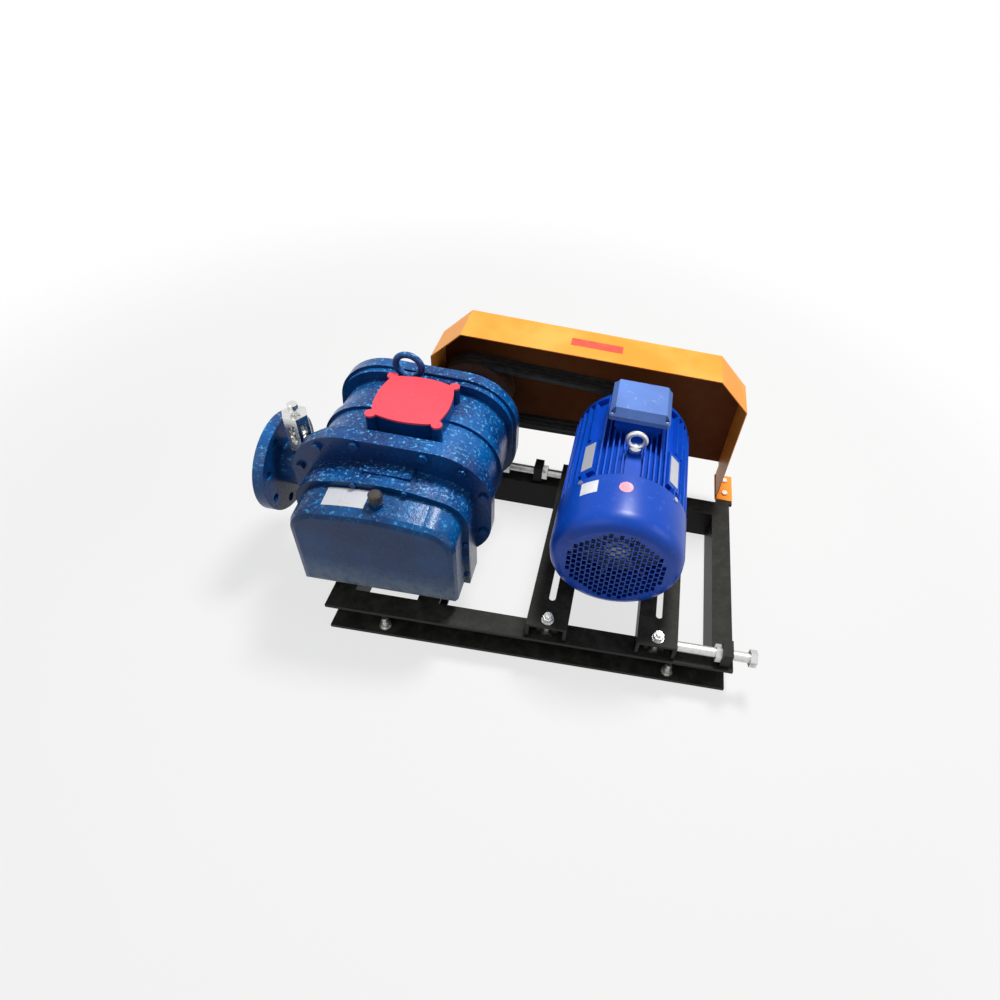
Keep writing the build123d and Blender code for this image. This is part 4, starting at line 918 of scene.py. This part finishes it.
@dataclass
class Motor:
    """Finned foot-mounted motor."""

    cowl_steps: int = 96
    skin: float = 2.5 * MM
    face_r: float = 103 * MM
    slots_r: float = 94 * MM
    slot: tuple[float, float] = (7.6 * MM, 12.0 * MM)
    pitch: tuple[float, float] = (9.8 * MM, 15.0 * MM)
    barrel_r: float = 113 * MM
    fin_r: float = 126.5 * MM
    fin_pitch: float = 11 * MM
    fin_thickness: float = 3 * MM
    fin_root: float = 3 * MM
    fin_margin: float = 4 * MM
    fin_near: float = 20 * MM
    fin_far: float = 64 * MM
    outer_fins: int = 3
    inner_fins: int = 2
    grid: tuple[int, int] = (21, 15)
    wall_inset: tuple[float, float] = (0.7, 0.8)
    label_back: float = 28 * MM
    seal_back: float = 32 * MM
    shoulder: tuple[tuple[float, float], ...] = (
        (0.0, 25.2), (2.5, 17.2), (8.0, 8.7), (18.0, 2.7), (32.0, 0.0),
    )

    def build(self) -> None:
        """Makes the vented cowl and the upright fins, and dresses the motor's nodes."""
        self._cowl()
        self._fins()
        dress(Finish.MOTOR, "motor_frame", "motor_end_shields", "terminal_box")
        dress(Finish.LID, "terminal_lid")
        dress(Finish.ZINC, "motor_eye_bolt", "motor_foot_bolts", "motor_cover_screws")
        dress(Finish.PLATE, "motor_nameplates")
        dress(Finish.SEAL, "cable_gland")
        dress(Finish.FAN, "cooling_fan")
        dress(Finish.WINDING, "motor_stator")
        dress(Finish.STEEL, "motor_bearings", "motor_bearing_inners", "motor_rotor")

    def _cowl(self) -> None:
        """Makes the cowl: a drawn cup whose flat end has staggered slots."""
        low, high = (Vector(corner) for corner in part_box("fan_cowl"))
        centre = (low + high) / 2
        radius = (high.x - low.x) / 2
        outside = [(low.y + y * MM, radius - inset * MM) for y, inset in self.shoulder]
        deeper, smaller = (share * self.skin for share in self.wall_inset)
        inside = [(y + deeper, r - smaller) for y, r in outside]
        inside[0] = (low.y + self.skin, self.face_r - self.skin)
        inside[-1] = (outside[-1][0], radius - self.skin)
        profile = outside + [(high.y, radius), (high.y, radius - self.skin)] + inside[::-1]
        cowl = lathe("vented_cowl", centre, profile, self.cowl_steps)
        self._vent(cowl, Vector((centre.x, low.y + self.skin / 2, centre.z)))
        show(cowl, "motor", Finish.MOTOR, "motor_paint", "fan_cowl")
        label = Sticker(
            "cowl_label", Finish.PAPER, math.radians(-35), high.y - self.label_back,
            width=36 * MM, height=30 * MM,
        )
        seal = Sticker(
            "cowl_seal", Finish.PINK, math.radians(-3), high.y - self.seal_back,
            width=26 * MM, height=26 * MM, round_ends=True,
        )
        for sticker in (label, seal):
            sticker.build(centre, radius, "motor", "plate_tin")

    def _fins(self) -> None:
        """Stands upright fins on the top of the frame, beside the lifting eye and the terminal box."""
        low, high = (Vector(corner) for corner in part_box("motor_frame"))
        box_low = Vector(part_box("terminal_box")[0])
        axis = sum((Vector(corner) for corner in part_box("motor_pulley")), Vector()) / 2
        ends = (low.y + self.fin_margin, high.y - self.fin_margin)
        span = (self.outer_fins - 1) * self.fin_pitch
        for name, first, count, back in (
            ("top_fins_left", -self.fin_far, self.outer_fins, ends[1]),
            ("top_fins_right", self.fin_far - span, self.outer_fins, ends[1]),
            ("eye_fins_left", -self.fin_near - self.fin_pitch, self.inner_fins, box_low.y),
            ("eye_fins_right", self.fin_near, self.inner_fins, box_low.y),
        ):
            piece = new_piece(name, [], [])
            middle = Vector((axis.x, (ends[0] + back) / 2, axis.z))
            self._fin_row(piece, middle, first, count, back - ends[0])
            show(piece, "motor", Finish.MOTOR, "motor_paint")

    def _fin_row(
        self, piece: bpy.types.Object, middle: Vector, first: float, count: int, length: float
    ) -> None:
        """Makes one row of upright fins, by Geometry Nodes.

        Args:
            piece: the empty piece that the row goes into.
            middle: the point on the motor's axis halfway along the fins.
            first: how far to the right of the axis the first fin stands.
            count: the number of fins.
            length: the length of each fin.
        """
        g = Pattern(
            piece.name,
            {
                "First fin": first,
                "Fin pitch": self.fin_pitch,
                "Fin thickness": self.fin_thickness,
                "Fin length": length,
                "Barrel radius": self.barrel_r,
                "Fin radius": self.fin_r,
                "Root depth": self.fin_root,
            },
        )
        start = g.vector(g.given("First fin"), 0.0, 0.0)
        step = g.vector(g.given("Fin pitch"), 0.0, 0.0)
        places = {"Count": count, "Start Location": start, "Offset": step}
        line = g.add("GeometryNodeMeshLine", {"mode": "OFFSET"}, places)
        x, _, _ = g.axes(g.add("GeometryNodeInputPosition", {}))
        crest = (g.given("Fin radius") ** 2 - x * x) ** 0.5
        root = (g.given("Barrel radius") ** 2 - x * x) ** 0.5 - g.given("Root depth")
        half_way = g.vector(0.0, 0.0, (crest + root) * 0.5)
        raised = g.add("GeometryNodeSetPosition", {}, {"Geometry": line, "Offset": half_way})
        size = g.vector(g.given("Fin thickness"), g.given("Fin length"), 1.0)
        fin = g.add("GeometryNodeMeshCube", {}, {"Size": size})
        tall = g.vector(1.0, 1.0, crest - root)
        fins = g.add("GeometryNodeInstanceOnPoints", {}, {"Points": raised, "Instance": fin, "Scale": tall})
        placed = g.add("GeometryNodeTransform", {}, {"Geometry": fins, "Translation": tuple(middle)})
        g.run(placed, material(Finish.MOTOR), piece)

    def _vent(self, cowl: bpy.types.Object, middle: Vector) -> None:
        """Closes the cowl's end with a slotted plate, by Geometry Nodes.

        Args:
            cowl: the cup that the plate joins.
            middle: the plate's centre.
        """
        g = Pattern(
            "slotted_plate",
            {
                "Slot width": self.slot[0],
                "Slot height": self.slot[1],
                "Pitch across": self.pitch[0],
                "Pitch up": self.pitch[1],
                "Slots within": self.slots_r,
                "Plate radius": self.face_r,
                "Plate thickness": self.skin,
            },
        )
        columns, rows = self.grid
        across, up = g.given("Pitch across"), g.given("Pitch up")
        extent = {"Size X": across * (columns - 1), "Size Y": up * (rows - 1)}
        grid = g.add("GeometryNodeMeshGrid", {}, {**extent, "Vertices X": columns, "Vertices Y": rows})
        x, _, _ = g.axes(g.add("GeometryNodeInputPosition", {}))
        column = g.add("ShaderNodeMath", {"operation": "ROUND"}, x / across)
        odd = g.add("ShaderNodeMath", {"operation": "PINGPONG"}, column, 1.0)
        stagger = g.vector(0.0, odd * up * 0.5, 0.0)
        staggered = g.add("GeometryNodeSetPosition", {}, {"Geometry": grid, "Offset": stagger})
        place = g.add("GeometryNodeInputPosition", {})
        reach = g.add("ShaderNodeVectorMath", {"operation": "LENGTH"}, place, output="Value")
        beyond = g.add("FunctionNodeCompare", {"operation": "GREATER_THAN"}, reach, g.given("Slots within"))
        kept = g.add("GeometryNodeDeleteGeometry", {"domain": "POINT"}, staggered, beyond)
        hole = g.vector(g.given("Slot width"), g.given("Slot height"), g.given("Plate thickness") * 3)
        cutter = g.add("GeometryNodeMeshCube", {}, {"Size": hole})
        cutters = g.add("GeometryNodeInstanceOnPoints", {}, {"Points": kept, "Instance": cutter})
        cutters = g.add("GeometryNodeRealizeInstances", {}, cutters)
        disc = {"Radius": g.given("Plate radius"), "Depth": g.given("Plate thickness")}
        plate = g.add("GeometryNodeMeshCylinder", {}, {"Vertices": self.cowl_steps, **disc})
        both = {"Mesh 1": plate, "Mesh 2": cutters}
        vent = g.add("GeometryNodeMeshBoolean", {"operation": "DIFFERENCE"}, both)
        stand = {"Geometry": vent, "Rotation": (math.pi / 2, 0.0, 0.0), "Translation": tuple(middle)}
        stood = g.add("GeometryNodeTransform", {}, stand)
        whole = g.add("GeometryNodeJoinGeometry", {}, {"Geometry": [g.given("Geometry"), stood]})
        g.run(whole, material(Finish.MOTOR), cowl)


@dataclass
class BeltDrive:
    """Pulleys, belts and their guard."""

    strip: tuple[float, float] = (112 * MM, 26 * MM)
    strip_at: float = 0.42
    strip_front: float = 36 * MM
    strip_lift: float = 0.2 * MM

    def build(self) -> None:
        """Makes the belts and the guard's strip, and dresses the drive's nodes."""
        dress(Finish.PULLEY, "pump_pulley", "motor_pulley")
        belts = copy_of("v_belts", "running_belts")
        show(belts, None, Finish.BELT, "belt_rubber", "v_belts")
        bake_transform(belts)
        dress(Finish.GUARD, "guard_shell", "guard_feet")
        dress(Finish.ZINC, "guard_bolts")
        self._strip()

    def _strip(self) -> None:
        """Lays a blank red strip on the top of the guard."""
        low, high = (Vector(corner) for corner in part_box("guard_shell"))
        left = low.x + (high.x - low.x) * self.strip_at
        front = low.y + self.strip_front
        corners = []
        for z in (high.z + 0.5 * self.strip_lift, high.z + 1.5 * self.strip_lift):
            for x, y in ((0, 0), (self.strip[0], 0), self.strip, (0, self.strip[1])):
                corners.append((left + x, front + y, z))
        faces = [(3, 2, 1, 0), (4, 5, 6, 7), (0, 1, 5, 4), (1, 2, 6, 5), (2, 3, 7, 6), (3, 0, 4, 7)]
        show(new_piece("guard_strip", corners, faces), "skid", Finish.RED, "cover_paint")


def main() -> None:
    """Builds the studio and each sub-assembly, in order."""
    bpy.context.scene.view_settings.view_transform = "Standard"
    for part in (Studio(), Skid(), Pump(), Motor(), BeltDrive()):
        part.build()
        LOG.info("built %s", type(part).__name__)


if __name__ == "__main__":
    main()
